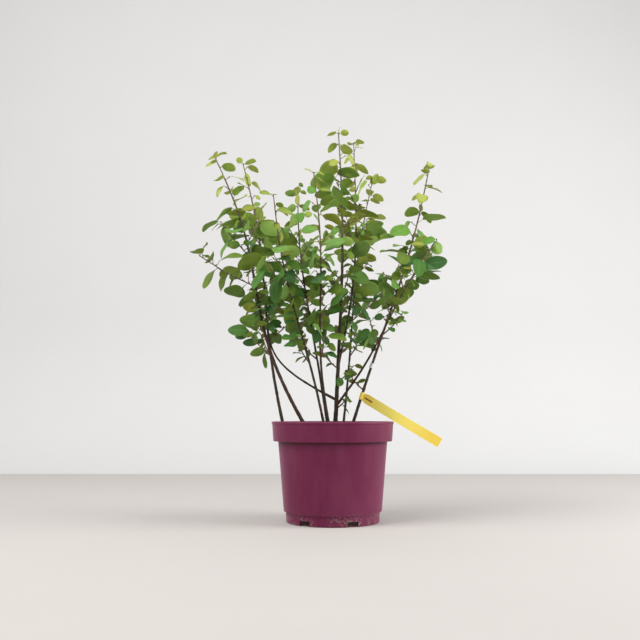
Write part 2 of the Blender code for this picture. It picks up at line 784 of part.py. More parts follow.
def main():
    clear_scene()
    paint = materials()
    make_pot(paint["pot"])
    make_soil(paint["soil"])
    limbs = all_limbs()
    for name, limb in limbs.items():
        if name in BOUGHS:
            make_bough(name, limb, limbs["trunk"], paint["bark"])
        else:
            make_limb("trunk" if name == "trunk" else "stem_" + name, limb, paint["bark"])
    make_label(limbs["right"], paint["label"])
    make_tie(limbs["right"], paint["tie"])
    masses = all_masses(limbs)
    space = Space(limbs, masses)
    for number, mass in enumerate(masses):
        make_mass(mass, number, space, limbs, paint["leaf"])


main()
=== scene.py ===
"""Looks of a potted serviceberry: pot, soil, bark, twigs, leaves, label and tie around their solids.

Metres, +Z up, -Y the front. The shrub grows by the same seeded rule as its solids, and goes on from
there to finer leaves, buds and bark.
"""

import math
from collections import namedtuple
from random import Random

import bpy
import numpy as np
from bpy.props import FloatProperty, FloatVectorProperty, IntProperty, PointerProperty
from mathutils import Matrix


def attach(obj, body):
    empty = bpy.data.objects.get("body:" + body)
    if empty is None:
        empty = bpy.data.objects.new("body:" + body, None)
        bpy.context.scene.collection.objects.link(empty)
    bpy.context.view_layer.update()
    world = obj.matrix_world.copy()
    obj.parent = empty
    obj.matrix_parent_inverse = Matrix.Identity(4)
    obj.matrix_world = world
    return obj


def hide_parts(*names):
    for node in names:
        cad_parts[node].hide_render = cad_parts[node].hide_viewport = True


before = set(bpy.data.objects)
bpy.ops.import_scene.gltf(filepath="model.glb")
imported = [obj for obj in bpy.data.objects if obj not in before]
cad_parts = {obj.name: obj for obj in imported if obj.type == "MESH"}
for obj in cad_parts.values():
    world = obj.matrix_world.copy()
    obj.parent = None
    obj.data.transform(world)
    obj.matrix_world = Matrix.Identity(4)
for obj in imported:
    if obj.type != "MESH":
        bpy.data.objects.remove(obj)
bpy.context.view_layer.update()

bl_info = {
    "name": "Potted serviceberry",
    "version": (1, 0, 0),
    "blender": (4, 5, 0),
    "location": "View3D > Sidebar > Serviceberry",
    "description": "Makes the pot, soil, bark, twigs, leaves, label and tie of a young serviceberry",
    "category": "Add Mesh",
}

BODY = "root"
GAP = 0.0003
UP = np.array((0.0, 0.0, 1.0))
LEVEL = np.array((1.0, 1.0, 0.0))

# Pot: outer radii and heights from the underside up
POT_HEIGHT = 0.1806
FOOT_RADIUS = 0.0850
FOOT_HEIGHT = 0.0180
BODY_RADIUS_LOW = 0.0894
BODY_RADIUS_TOP = 0.1003
BAND_BOTTOM = 0.1450
BAND_RADIUS_LOW = 0.1093
BAND_RADIUS_TOP = 0.1114
RIM_RADIUS = 0.1125
BEAD_HEIGHT = 0.0050
WALL = 0.0019
FLOOR = 0.0026
NOTCH_COUNT = 6
NOTCH_WIDTH = 0.0210
NOTCH_HEIGHT = 0.0088
NOTCH_DEPTH = 0.0050
NOTCH_TURN = math.radians(-66.5)
POT_SIDES = 160
ROUNDING = 0.0007
ROUND_STEPS = 3

SOIL_TOP = 0.1603

# Limbs: how thick they are at the tip, how fast they taper and how they flare into the soil
TIP_RADIUS = 0.0009
TAPER = 0.85
FLARE_HEIGHT = 0.014
LIMB_STEP = 0.045
BARK_STEP = 0.0035
BARK_SIDES = 14

# Each limb's curve runs from its foot to its tip, pushed aside by a bow and, in X, an S-shaped sway.
# Thick is the radius at the foot, flare what the foot adds, and bare the share that carries no leaves.
Limb = namedtuple("Limb", "foot tip bow sway thick flare bare")
STEMS = {
    "trunk": Limb((0.0045, 0.000), (0.0126, 0.010, 0.7365), (0.0099, 0.012), -0.0017, 0.0041, 0.0016, 0.60),
    "far_left": Limb((-0.0439, -0.012), (-0.2184, -0.045, 0.6681), (-0.0083, -0.010), -0.0135, 0.0034, 0.0012, 0.34),
    "left": Limb((-0.0891, 0.012), (-0.1786, 0.075, 0.6953), (0.0038, -0.010), -0.0062, 0.0030, 0.0010, 0.34),
    "front_left": Limb((-0.0131, -0.020), (-0.1049, -0.125, 0.5751), (-0.0067, 0.012), 0.0043, 0.0025, 0.0008, 0.36),
    "back_left": Limb((-0.0075, 0.018), (-0.0702, 0.150, 0.6695), (-0.0101, -0.015), 0.0034, 0.0025, 0.0008, 0.33),
    "front": Limb((-0.0043, -0.018), (-0.0345, -0.130, 0.6147), (-0.0033, 0.015), -0.0065, 0.0024, 0.0008, 0.36),
    "back_right": Limb((0.0192, 0.022), (0.0893, 0.170, 0.6907), (-0.0100, -0.020), 0.0032, 0.0023, 0.0008, 0.33),
    "right": Limb((0.0324, 0.002), (0.1848, -0.020, 0.6627), (0.0096, 0.012), -0.0033, 0.0029, 0.0010, 0.42),
}
# Boughs fork from the trunk, at this share of its curve.
BOUGHS = {
    "bough_back": (0.210, Limb(None, (0.0463, 0.110, 0.7514), (0.0178, -0.012), 0.0020, 0.0021, 0.0, 0.22)),
    "bough_front_right": (0.085, Limb(None, (0.1743, -0.140, 0.4876), (0.0032, 0.020), 0.0050, 0.0022, 0.0, 0.50)),
    "bough_back_left": (0.103, Limb(None, (-0.1703, 0.160, 0.4389), (-0.0378, -0.020), -0.0168, 0.0021, 0.0, 0.50)),
}

# Masses that stand on a limb's side: limb, share of its curve, direction round it in degrees from +X
# towards +Y, length and the size of its leaves against the others'
SIDE_MASSES = (
    ("far_left", 0.27, 200, 0.060, 0.75),
    ("left", 0.27, 120, 0.065, 0.75),
    ("front_left", 0.30, 235, 0.060, 0.65),
    ("back_left", 0.27, 150, 0.065, 0.80),
    ("front", 0.29, 280, 0.055, 0.75),
    ("trunk", 0.075, 350, 0.030, 0.45),
    ("trunk", 0.160, 20, 0.045, 0.55),
    ("trunk", 0.205, 190, 0.035, 0.55),
    ("trunk", 0.25, 330, 0.055, 0.80),
    ("trunk", 0.32, 200, 0.055, 0.90),
    ("trunk", 0.38, 60, 0.055, 1.00),
    ("trunk", 0.44, 290, 0.055, 1.00),
    ("trunk", 0.50, 170, 0.055, 1.00),
    ("trunk", 0.56, 20, 0.055, 1.00),
    ("back_right", 0.27, 60, 0.065, 0.85),
    ("right", 0.155, 200, 0.034, 0.45),
    ("right", 0.30, 100, 0.050, 0.75),
    ("right", 0.36, 340, 0.055, 0.85),
    ("bough_front_right", 0.40, 250, 0.055, 0.80),
)

# Masses that carry on from a limb's end: how long their longest side twigs are
END_MASSES = {
    "trunk": 0.065,
    "far_left": 0.105,
    "left": 0.080,
    "front_left": 0.080,
    "back_left": 0.080,
    "front": 0.075,
    "back_right": 0.080,
    "right": 0.085,
    "bough_back": 0.065,
    "bough_front_right": 0.080,
    "bough_back_left": 0.085,
}

# Leaves and twigs
LEAF_LENGTH = 0.0445
LOW_LEAF = 0.62
LOW_UNTIL = 0.30
STALK_SHARE = 0.26
LEAF_STEP = 0.023
TWIG_UNTIL = 0.62
TWIG_STEP = 0.029
TWIG_SHARES = (0.18, 1.00)
TWIG_OUTWARD = 0.50
TWIG_RISE = (0.15, 0.85)
SPUR_STEP = 0.016
BLADE_PITCH = -0.20
BLADE_PITCH_SPREAD = 0.42
BLADE_ROLL = 0.60
BLADE_ROLL_SPREAD = 0.50
BLADE_WIDTH = (0.54, 0.76)
BLADE_ROUNDNESS = 0.50
TWIG_RADIUS = 0.0011
GOLDEN_TURN = math.radians(137.5)
TRIES = 14
SPACE_MARGIN = 0.0012
LIMB_CLEARANCE = 0.0055
LEAF_CLEARANCE = 0.0045

# The crown: its reach to the left and right, and to front and back, at heights from its lowest leaf up
CROWN = np.array(
    (
        (0.190, -0.030, 0.095, 0.080),
        (0.270, -0.130, 0.085, 0.120),
        (0.330, -0.185, 0.112, 0.160),
        (0.400, -0.235, 0.172, 0.200),
        (0.450, -0.275, 0.213, 0.215),
        (0.510, -0.290, 0.233, 0.220),
        (0.590, -0.270, 0.231, 0.215),
        (0.670, -0.257, 0.230, 0.205),
        (0.758, -0.230, 0.210, 0.150),
    )
)
CROWN_SQUARENESS = 2.4

# The finer growth between the rule's leaves
FINE_STEP = 0.015
FINE_THINNING = 0.45
FINE_SCALE = (0.35, 0.70)
FINE_CLEARANCE = 0.0028
FINE_TWIG = (0.006, 0.017)
FINE_RISE = (0.30, 1.00)
FINE_RADII = np.array((0.0008, 0.0007, 0.0006))

# Dried flower heads: which stems bear them, and at what shares of the stem's leafy length
DRIED_ON = {
    "leaves_trunk": (0.13, 0.30, 0.52),
    "leaves_bough_back": (0.08, 0.34, 0.59),
    "leaves_back_right": (0.38, 0.62),
}
DRIED_LUMPS = 9
DRIED_REACH = 0.012
DRIED_STALK_RADIUS = 0.00030

# Leaf meshes: rings along the stalk and the blade, and how far across each ring's corners lie
STALK_ROWS = 3
BLADE_ROWS = 13
ACROSS = np.array((-1.0, 0.0, 1.0, 0.0))
FACE_UP = np.array((0.0, 1.0, 0.0, -1.0))
LEAF_CORNERS = len(ACROSS)
ABOVE = np.arange(LEAF_CORNERS) < LEAF_CORNERS // 2
BLADE_HALF_THICKNESS = 0.00022
STALK_RADIUS = 0.00055

# Label and tie on the right-hand stem: how high up it they sit, as heights from the pot's underside
LABEL_HEIGHT = 0.2272
LABEL_END = (0.1896, -0.0550, 0.1432)
LABEL_WIDTH = 0.0180
LABEL_NECK = 0.0140
LABEL_SHOULDER = 0.0110
LABEL_THICKNESS = 0.0007
SLOT_PLACE = 0.0155
SLOT_SIZE = (0.0170, 0.0030)
TAIL_LENGTH = 0.0300
TAIL_WIDTH = 0.0090
TAIL_THICKNESS = 0.0005
TAIL_OFFSET = 0.0009
COLLAR_CLEARANCE = 0.0004
TIE_HEIGHT = 0.2835
TIE_LENGTH = 0.0090
TIE_THICKNESS = 0.0009

# The camera stands where the photographer's did. The picture is square.
CAMERA_PLACE = (-0.0233, -1.490, 0.1906)
CAMERA_TILT = math.radians(96.84)
LENS = 45.0
SENSOR = 36.0


def unit(vector):
    """The vector, or each vector of an array, at length one."""
    return vector / np.linalg.norm(vector, axis=-1, keepdims=True)


# Meshes from whole arrays


def new_piece(name, points, faces, materials, slots=None, marks=None):
    """One object from arrays: points by XYZ, and blocks of faces by corners. Marks are numbers kept at each point."""
    mesh = bpy.data.meshes.new(name)
    corners = np.concatenate([block.ravel() for block in faces])
    sizes = np.concatenate([np.full(len(block), block.shape[1]) for block in faces])
    starts = np.concatenate(([0], np.cumsum(sizes)[:-1]))
    mesh.vertices.add(len(points))
    mesh.vertices.foreach_set("co", points.astype(np.float32).ravel())
    mesh.loops.add(len(corners))
    mesh.loops.foreach_set("vertex_index", corners.astype(np.int32))
    mesh.polygons.add(len(sizes))
    mesh.polygons.foreach_set("loop_start", starts.astype(np.int32))
    if slots is not None:
        mesh.polygons.foreach_set("material_index", slots.astype(np.int32))
    mesh.update(calc_edges=True)
    mesh.shade_smooth()
    for mark, values in (marks or {}).items():
        attribute = mesh.attributes.new(mark, "FLOAT", "POINT")
        attribute.data.foreach_set("value", np.asarray(values, np.float32).ravel())
    for material in materials:
        mesh.materials.append(material)
    piece = bpy.data.objects.new(name, mesh)
    bpy.context.scene.collection.objects.link(piece)
    return piece


def tube_faces(count, rows, corners):
    """Faces of closed tubes whose points are an array of tubes by rings by corners: sides, then both caps."""
    ring = np.arange(corners)
    follow = (ring + 1) % corners
    row = np.arange(rows - 1)[:, None] * corners
    side = np.stack((row + ring, row + follow, row + corners + follow, row + corners + ring), -1).reshape(-1, 4)
    start = np.arange(count)[:, None, None] * rows * corners
    caps = np.stack((ring[::-1], (rows - 1) * corners + ring))
    return [(start + side[None]).reshape(-1, 4), (start + caps[None]).reshape(-1, corners)]


def round_rings(paths, radii, corners):
    """Rings round paths: P = path + r (cos a side + sin a other), with side and other square to the path."""
    tangent = unit(np.gradient(paths, axis=1))
    lean = np.abs(paths[:, -1] - paths[:, 0])
    reference = np.eye(3)[np.argmin(lean, axis=1)][:, None]
    side = unit(np.cross(tangent, reference))
    other = np.cross(tangent, side)
    angle = np.arange(corners) * math.tau / corners
    ring = np.cos(angle)[:, None] * side[:, :, None] + np.sin(angle)[:, None] * other[:, :, None]
    return paths[:, :, None] + ring * radii[..., None]


def turned_rings(profile, sides):
    """Rings of a body turned about Z: P = (r cos a, r sin a, z) for each radius and height of the profile."""
    angle = np.arange(sides) * math.tau / sides
    radius, height = profile[:, 0:1], profile[:, 1:2]
    return np.stack((radius * np.cos(angle), radius * np.sin(angle), height + 0.0 * angle), -1)[None]


def rounded(profile, radius=ROUNDING, steps=ROUND_STEPS):
    """The profile with each inner corner swapped for a curve: (1-t)^2 A + 2 t (1-t) corner + t^2 B."""
    corner = np.asarray(profile, float)
    back = corner[:-2] - corner[1:-1]
    ahead = corner[2:] - corner[1:-1]
    back_length = np.linalg.norm(back, axis=1, keepdims=True)
    ahead_length = np.linalg.norm(ahead, axis=1, keepdims=True)
    start = corner[1:-1] + back * np.minimum(radius / back_length, 0.45)
    end = corner[1:-1] + ahead * np.minimum(radius / ahead_length, 0.45)
    t = np.linspace(0.0, 1.0, steps + 1)[None, :, None]
    curve = (1 - t) ** 2 * start[:, None] + 2 * t * (1 - t) * corner[1:-1][:, None] + t**2 * end[:, None]
    return np.concatenate((corner[:1], curve.reshape(-1, 2), corner[-1:]))


def waves(points, size, seed, octaves=3):
    """Smooth noise about 0: a sum of sines along seeded directions, each octave half as long and high."""
    rng = np.random.default_rng(seed)
    total = np.zeros(points.shape[:-1])
    for octave in range(octaves):
        for _ in range(6):
            direction = unit(rng.normal(size=3)) * math.tau * 2**octave / size * rng.uniform(0.7, 1.3)
            total += np.sin(points @ direction + rng.uniform(0.0, math.tau)) / 2**octave
    return total / 4.0


# Shader nodes


class Value:
    """A number that changes over a surface. Python's operators on it add Math nodes."""

    def __init__(self, finish, socket):
        self.finish = finish
        self.socket = socket

    def math(self, operation, *values):
        node = self.finish.node("ShaderNodeMath", {"operation": operation}, dict(enumerate(values)))
        return Value(self.finish, node.outputs[0])

    def __add__(self, other):
        return self.math("ADD", self, other)

    def __sub__(self, other):
        return self.math("SUBTRACT", self, other)

    def __rsub__(self, other):
        return self.math("SUBTRACT", other, self)

    def __mul__(self, other):
        return self.math("MULTIPLY", self, other)

    def __truediv__(self, other):
        return self.math("DIVIDE", self, other)

    def __pow__(self, other):
        return self.math("POWER", self, other)

    __radd__ = __add__
    __rmul__ = __mul__

    def step(self, low, high):
        """Rises smoothly from 0 at low to 1 at high."""
        settings = {"interpolation_type": "SMOOTHSTEP"}
        node = self.finish.node("ShaderNodeMapRange", settings, {"Value": self, 1: low, 2: high})
        return Value(self.finish, node.outputs[0])

    def size(self):
        return self.math("ABSOLUTE", self)


class Finish:
    """A material in the making: one Principled shader, and the nodes that feed it."""

    def __init__(self, name, constants):
        self.material = bpy.data.materials.new(name)
        self.material.use_nodes = True
        self.tree = self.material.node_tree
        self.shader = self.tree.nodes["Principled BSDF"]
        for socket, value in constants.items():
            self.shader.inputs[socket].default_value = value
        self.place = self.node("ShaderNodeTexCoord").outputs["Object"]

    def node(self, kind, settings=None, inputs=None):
        """Adds a node. Its settings are set first, then each socket's value or link."""
        node = self.tree.nodes.new(kind)
        for setting, value in (settings or {}).items():
            setattr(node, setting, value)
        for socket, value in (inputs or {}).items():
            self.feed(node.inputs[socket], value)
        return node

    def feed(self, socket, value):
        if isinstance(value, Value):
            value = value.socket
        if isinstance(value, bpy.types.NodeSocket):
            self.tree.links.new(value, socket)
        else:
            socket.default_value = value

    def noise(self, size, detail=3.0, stretch=(1.0, 1.0, 1.0)):
        """Noise from 0 to 1 over the object's own coordinates, with features about this size."""
        scaled = self.node("ShaderNodeMapping", {}, {"Vector": self.place, "Scale": stretch})
        inputs = {"Vector": scaled.outputs[0], "Scale": 1.0 / size, "Detail": detail}
        return Value(self, self.node("ShaderNodeTexNoise", {}, inputs).outputs[0])

    def mark(self, name):
        """A number that the mesh keeps at each point."""
        return Value(self, self.node("ShaderNodeAttribute", {"attribute_name": name}).outputs["Fac"])

    def mix(self, share, low, high):
        """Colour low where the share is 0 and high where it is 1."""
        low, high = [value if isinstance(value, bpy.types.NodeSocket) else (*value, 1.0) for value in (low, high)]
        node = self.node("ShaderNodeMix", {"data_type": "RGBA"}, {0: share, 6: low, 7: high})
        return node.outputs[2]

    def bump(self, height, depth):
        """Relief from a height of 0 to 1 that stands this deep."""
        node = self.node("ShaderNodeBump", {}, {"Height": height, "Distance": depth, "Strength": 1.0})
        self.tree.links.new(node.outputs[0], self.shader.inputs["Normal"])

    def colour(self, value):
        self.feed(self.shader.inputs["Base Color"], value if isinstance(value, bpy.types.NodeSocket) else (*value, 1.0))

    def roughness(self, value):
        self.feed(self.shader.inputs["Roughness"], value)


def pot_finish(settings):
    """Matt plum plastic: faint flow streaks, a paler rim, a painted shadow close under the band, and dust that gathers
    at the foot.
    """
    sheen = {"Sheen Weight": 0.36, "Sheen Roughness": 0.35, "Sheen Tint": (1.0, 0.50, 0.70, 1.0)}
    finish = Finish("plum_plastic", {"Specular IOR Level": 0.24, **sheen})
    height = Value(finish, finish.node("ShaderNodeSeparateXYZ", {}, {0: finish.place}).outputs[2])
    streaks = finish.noise(0.030, 4.0, (1.0, 1.0, 0.35))
    base = finish.mix(streaks.step(0.35, 0.70) * 0.30, settings.colour, settings.pale)
    rim = height.step(POT_HEIGHT - 0.0020, POT_HEIGHT)
    base = finish.mix(rim * 0.55, base, settings.pale)
    # Painted shadow: a thin strip of plastic just under the band is darkened where the band's overhang shades it.
    band_shadow_mask = height.step(BAND_BOTTOM - 0.0075, BAND_BOTTOM - 0.0005)
    band_shadow_mask = band_shadow_mask * (1.0 - height.step(BAND_BOTTOM, BAND_BOTTOM + 0.0006))
    base = finish.mix(band_shadow_mask * 0.85, base, settings.band_shadow_colour)
    specks = finish.noise(0.0042, 5.0).step(0.46, 0.64)
    low = 1.0 - height.step(0.006, 0.026)
    patches = finish.noise(0.035, 2.0).step(0.38, 0.58)
    dust = specks * low * patches * 0.52
    finish.colour(finish.mix(dust, base, settings.dust))
    finish.roughness(0.42 + 0.16 * streaks + 0.30 * dust)
    finish.bump(finish.noise(0.0011, 2.0), 0.00008)
    return finish.material


def soil_finish(settings):
    """Dark crumbly potting soil with lighter fibres."""
    finish = Finish("potting_soil", {"Roughness": 0.95})
    grain = finish.noise(0.004, 6.0)
    finish.colour(finish.mix(grain.step(0.40, 0.70), settings.dark, settings.light))
    finish.bump(grain, 0.0015)
    return finish.material


def plain_finish(name, colour, roughness, grain, depth, shade=0.72):
    """One colour with a faint grain in its shade and relief."""
    finish = Finish(name, {"Roughness": roughness})
    speck = finish.noise(grain, 4.0)
    darker = tuple(shade * part for part in colour)
    finish.colour(finish.mix(speck.step(0.35, 0.70), darker, colour))
    finish.bump(speck, depth)
    return finish.material


def bark_finish(settings):
    """Thin brown bark, in places russet, with grey bloom and pale pores, and paler young wood towards the tip."""
    finish = Finish("bark", {"Specular IOR Level": 0.25})
    reach = finish.mark("reach")
    streak = finish.noise(0.006, 5.0, (1.0, 1.0, 0.22))
    old = finish.mix(streak.step(0.38, 0.66), settings.old, settings.bloom)
    old = finish.mix(finish.noise(0.060, 1.0).step(0.48, 0.60) * 0.45, old, settings.russet)
    young = finish.mix(streak.step(0.30, 0.75), settings.young, settings.shoot)
    base = finish.mix(reach.step(0.45, 0.80), old, young)
    base = finish.mix(reach.step(0.72, 0.98) * 0.8, base, settings.shoot)
    pores = finish.noise(0.0028, 1.0, (1.0, 1.0, 2.2)).step(0.66, 0.72)
    finish.colour(finish.mix(pores * 0.55, base, settings.pores))
    finish.roughness(0.55 + 0.25 * streak)
    finish.bump(streak + 0.6 * pores, 0.0004)
    return finish.material


def leaf_finish(name, colour, vein, heart, margin, shine):
    """A leaf's face: a midrib, faint side veins, a tinted heart and margin, and slightly uneven green."""
    finish = Finish(name, {"Specular IOR Level": shine})
    along, across = finish.mark("along"), finish.mark("across").size()
    rib = 1.0 - across.step(0.02, 0.07)
    phase = (along - across * 0.16) * 8.0
    side = 1.0 - (phase.math("FRACT", phase) - 0.5).size().step(0.02, 0.12)
    veins = rib * 0.55 + side * 0.20
    uneven = finish.noise(0.012, 3.0)
    darker = tuple(0.80 * part for part in colour)
    base = finish.mix(uneven.step(0.35, 0.65), darker, colour)
    middle = 1.0 - ((along - 0.42).size() * 1.5 + across * 0.75).step(0.25, 0.80)
    base = finish.mix(middle * 0.70, base, heart)
    edge = across.step(0.45, 0.95)
    end = along.step(0.72, 0.98)
    base = finish.mix(edge + end - edge * end, base, margin)
    finish.colour(finish.mix(veins * 0.60, base, vein))
    finish.roughness(0.46 + 0.14 * uneven)
    finish.bump(1.0 - veins, 0.00018)
    return finish.material


def label_finish(settings):
    """Thin yellow plastic, more orange towards its loop; the paler strip between is partly a painted highlight."""
    finish = Finish("label_plastic", {})
    reach = finish.mark("reach")
    # The strip colour is paler than the plastic's own yellow, partly as a painted highlight along the label's middle.
    base = finish.mix(reach.step(0.02, 0.24), settings.loop, settings.strip)
    base = finish.mix(reach.step(0.55, 0.95), base, settings.tip)
    scuff = finish.noise(0.006, 4.0)
    finish.colour(finish.mix(scuff.step(0.45, 0.75) * 0.18, base, settings.end))
    finish.roughness(0.34 + 0.12 * scuff)
    return finish.material


# The shrub's growth, by the same rule as its solids


def along(limb, share):
    """Points of a limb's curve at these shares of its rise, as an array."""
    share = np.atleast_1d(np.asarray(share, float))[:, None]
    foot = np.array(limb.foot)
    bow = np.array((limb.bow[0], limb.bow[1], 0.0))
    sway = np.array((limb.sway, 0.0, 0.0))
    straight = foot + (np.array(limb.tip) - foot) * share
    return straight + bow * np.sin(math.pi * share) + sway * np.sin(math.tau * share)


def thickness(limb, share):
    """The limb's radius at these shares, with the flare at its foot."""
    share = np.atleast_1d(np.asarray(share, float))
    rise = share * (limb.tip[2] - limb.foot[2])
    taper = TIP_RADIUS + (limb.thick - TIP_RADIUS) * (1.0 - share) ** TAPER
    return taper + limb.flare * np.exp(-rise / FLARE_HEIGHT)


def all_limbs():
    """Every limb by name, with the stems' feet on the soil and the boughs' on the trunk's axis."""
    limbs = {}
    for name, stem in STEMS.items():
        limbs[name] = stem._replace(foot=(*stem.foot, SOIL_TOP + GAP))
    for name, (fork, bough) in BOUGHS.items():
        limbs[name] = bough._replace(foot=tuple(along(limbs["trunk"], fork)[0]))
    return limbs


def limb_shares(limb, low, high, step=LIMB_STEP):
    """Even shares of a limb's curve from low to high, about a step apart."""
    length = np.linalg.norm(along(limb, high)[0] - along(limb, low)[0])
    return np.linspace(low, high, max(3, int(round(length / step)) + 1))


Mass = namedtuple("Mass", "name limb path radii seed twig leaf")


def all_masses(limbs):
    """Every mass of leaves, whose seed is its own number.

    It has its stem's path and radii, the length of its longest side twig and its leaves' size.
    """
    masses = []
    for name, limb in limbs.items():
        shares = limb_shares(limb, limb.bare, 1.0)
        path = along(limb, shares)
        path[0] += unit(path[1] - path[0]) * GAP / 2.0
        radii = thickness(limb, shares)
        masses.append(Mass("leaves_" + name, name, path, radii, len(masses) + 1, END_MASSES[name], 1.0))
    for number, (name, share, turn, length, leaf) in enumerate(SIDE_MASSES, 1):
        limb = limbs[name]
        turn = math.radians(turn)
        out = np.array((math.cos(turn), math.sin(turn), 0.0))
        reach = np.linspace(0.0, 1.0, 4)[:, None]
        path = along(limb, share) + length * (out * 0.72 * reach + UP * (0.45 * reach + 0.25 * reach**2))
        radii = np.linspace(0.0015, TIP_RADIUS, 4)
        masses.append(Mass(f"leaves_side_{number:02d}", name, path, radii, len(masses) + 1, 0.0, leaf))
    return masses


def segments(path):
    return path[:-1], path[1:] - path[:-1]


def distance_to(points, start, step):
    """Distances from each point to each segment, as an array of points by segments."""
    offset = points[:, None] - start[None]
    share = np.clip((offset * step[None]).sum(2) / (step * step).sum(1)[None], 0.0, 1.0)
    return np.linalg.norm(offset - share[..., None] * step[None], axis=2)


def inside_crown(points):
    """Whether every point lies inside the crown, which is a squarish oval in plan."""
    left, right, depth = [np.interp(points[:, 2], CROWN[:, 0], CROWN[:, row]) for row in (1, 2, 3)]
    sideways = np.abs(points[:, 0] - 0.5 * (left + right)) / (0.5 * (right - left))
    oval = sideways**CROWN_SQUARENESS + (np.abs(points[:, 1]) / depth) ** CROWN_SQUARENESS
    low, high = CROWN[0, 0], CROWN[-1, 0]
    return bool(((oval < 1.0) & (points[:, 2] > low) & (points[:, 2] < high)).all())


class Space:
    """Which mass a point belongs to, by the nearest mass's stem, and how near the limbs are."""

    def __init__(self, limbs, masses):
        starts, steps, owners = [], [], []
        for number, mass in enumerate(masses):
            start, step = segments(mass.path)
            starts.append(start)
            steps.append(step)
            owners += [number] * len(start)
        self.start = np.concatenate(starts)
        self.step = np.concatenate(steps)
        self.owner = np.array(owners)
        starts, steps = [], []
        for limb in limbs.values():
            start, step = segments(along(limb, limb_shares(limb, 0.0, limb.bare)))
            starts.append(start)
            steps.append(step)
        self.limb_start = np.concatenate(starts)
        self.limb_step = np.concatenate(steps)

    def holds(self, points, number):
        """True if every point is in this mass's space, clear of the limbs and inside the crown."""
        if not inside_crown(points):
            return False
        if distance_to(points, self.limb_start, self.limb_step).min() < LIMB_CLEARANCE:
            return False
        reach = distance_to(points, self.start, self.step)
        own = reach[:, self.owner == number].min(1)
        other = reach[:, self.owner != number].min(1)
        return bool((own + SPACE_MARGIN < other).all())


Leaf = namedtuple("Leaf", "root neck along across up length width arch age spray")
Twig = namedtuple("Twig", "path radii")


def level(angle):
    """The horizontal direction at this angle from +X towards +Y."""
    return np.array((math.cos(angle), math.sin(angle), 0.0))


def leaf_at(rng, root, turn, age, scale):
    """One leaf on its stalk: the stalk rises, and the blade levels off and tilts its face out of the crown."""
    length = LEAF_LENGTH * rng.uniform(0.78, 1.18) * scale
    rise = rng.uniform(0.20, 1.00)
    out = level(turn)
    neck = root + (out * math.cos(rise) + UP * math.sin(rise)) * length * STALK_SHARE
    out = level(turn + rng.gauss(0.0, 0.35))
    pitch = rng.gauss(BLADE_PITCH, BLADE_PITCH_SPREAD)
    blade = out * math.cos(pitch) + UP * math.sin(pitch)
    across = unit(np.cross(blade, UP))
    upward = np.cross(across, blade)
    roll = math.copysign(rng.gauss(BLADE_ROLL, BLADE_ROLL_SPREAD), -(across @ root))
    across = across * math.cos(roll) + upward * math.sin(roll)
    upward = np.cross(across, blade)
    width = length * rng.uniform(*BLADE_WIDTH)
    return Leaf(root, neck, blade, across, upward, length, width, rng.uniform(0.04, 0.16), age, 0)


def blade_points(leaf, grid):
    """Points of a blade: u runs from its stalk to its tip, and v from edge to edge."""
    u, v = grid[:, 0:1], grid[:, 1:2]
    half = 0.5 * leaf.width * np.sin(math.pi * u**0.85) ** BLADE_ROUNDNESS
    sag = leaf.arch * leaf.length * u * (2.0 * u - 1.0)
    return leaf.neck + leaf.along * leaf.length * u + leaf.across * half * v - leaf.up * sag


BLADE_GRID = np.array([(u, v) for u in (0.02, 0.2, 0.4, 0.6, 0.8, 1.0) for v in (-1.0, -0.5, 0.0, 0.5, 1.0)])


def distances(points, others):
    """Distances from each point to each of the others."""
    gap = points[:, None] - others[None]
    return np.sqrt(np.einsum("ijk,ijk->ij", gap, gap))


class Shoot:
    """A path that can be read at any length along it."""

    def __init__(self, path):
        self.path = path
        self.lengths = np.concatenate(([0.0], np.cumsum(np.linalg.norm(np.diff(path, axis=0), axis=1))))
        self.total = self.lengths[-1]

    def at(self, reach):
        return np.array([np.interp(reach, self.lengths, self.path[:, axis]) for axis in range(3)])


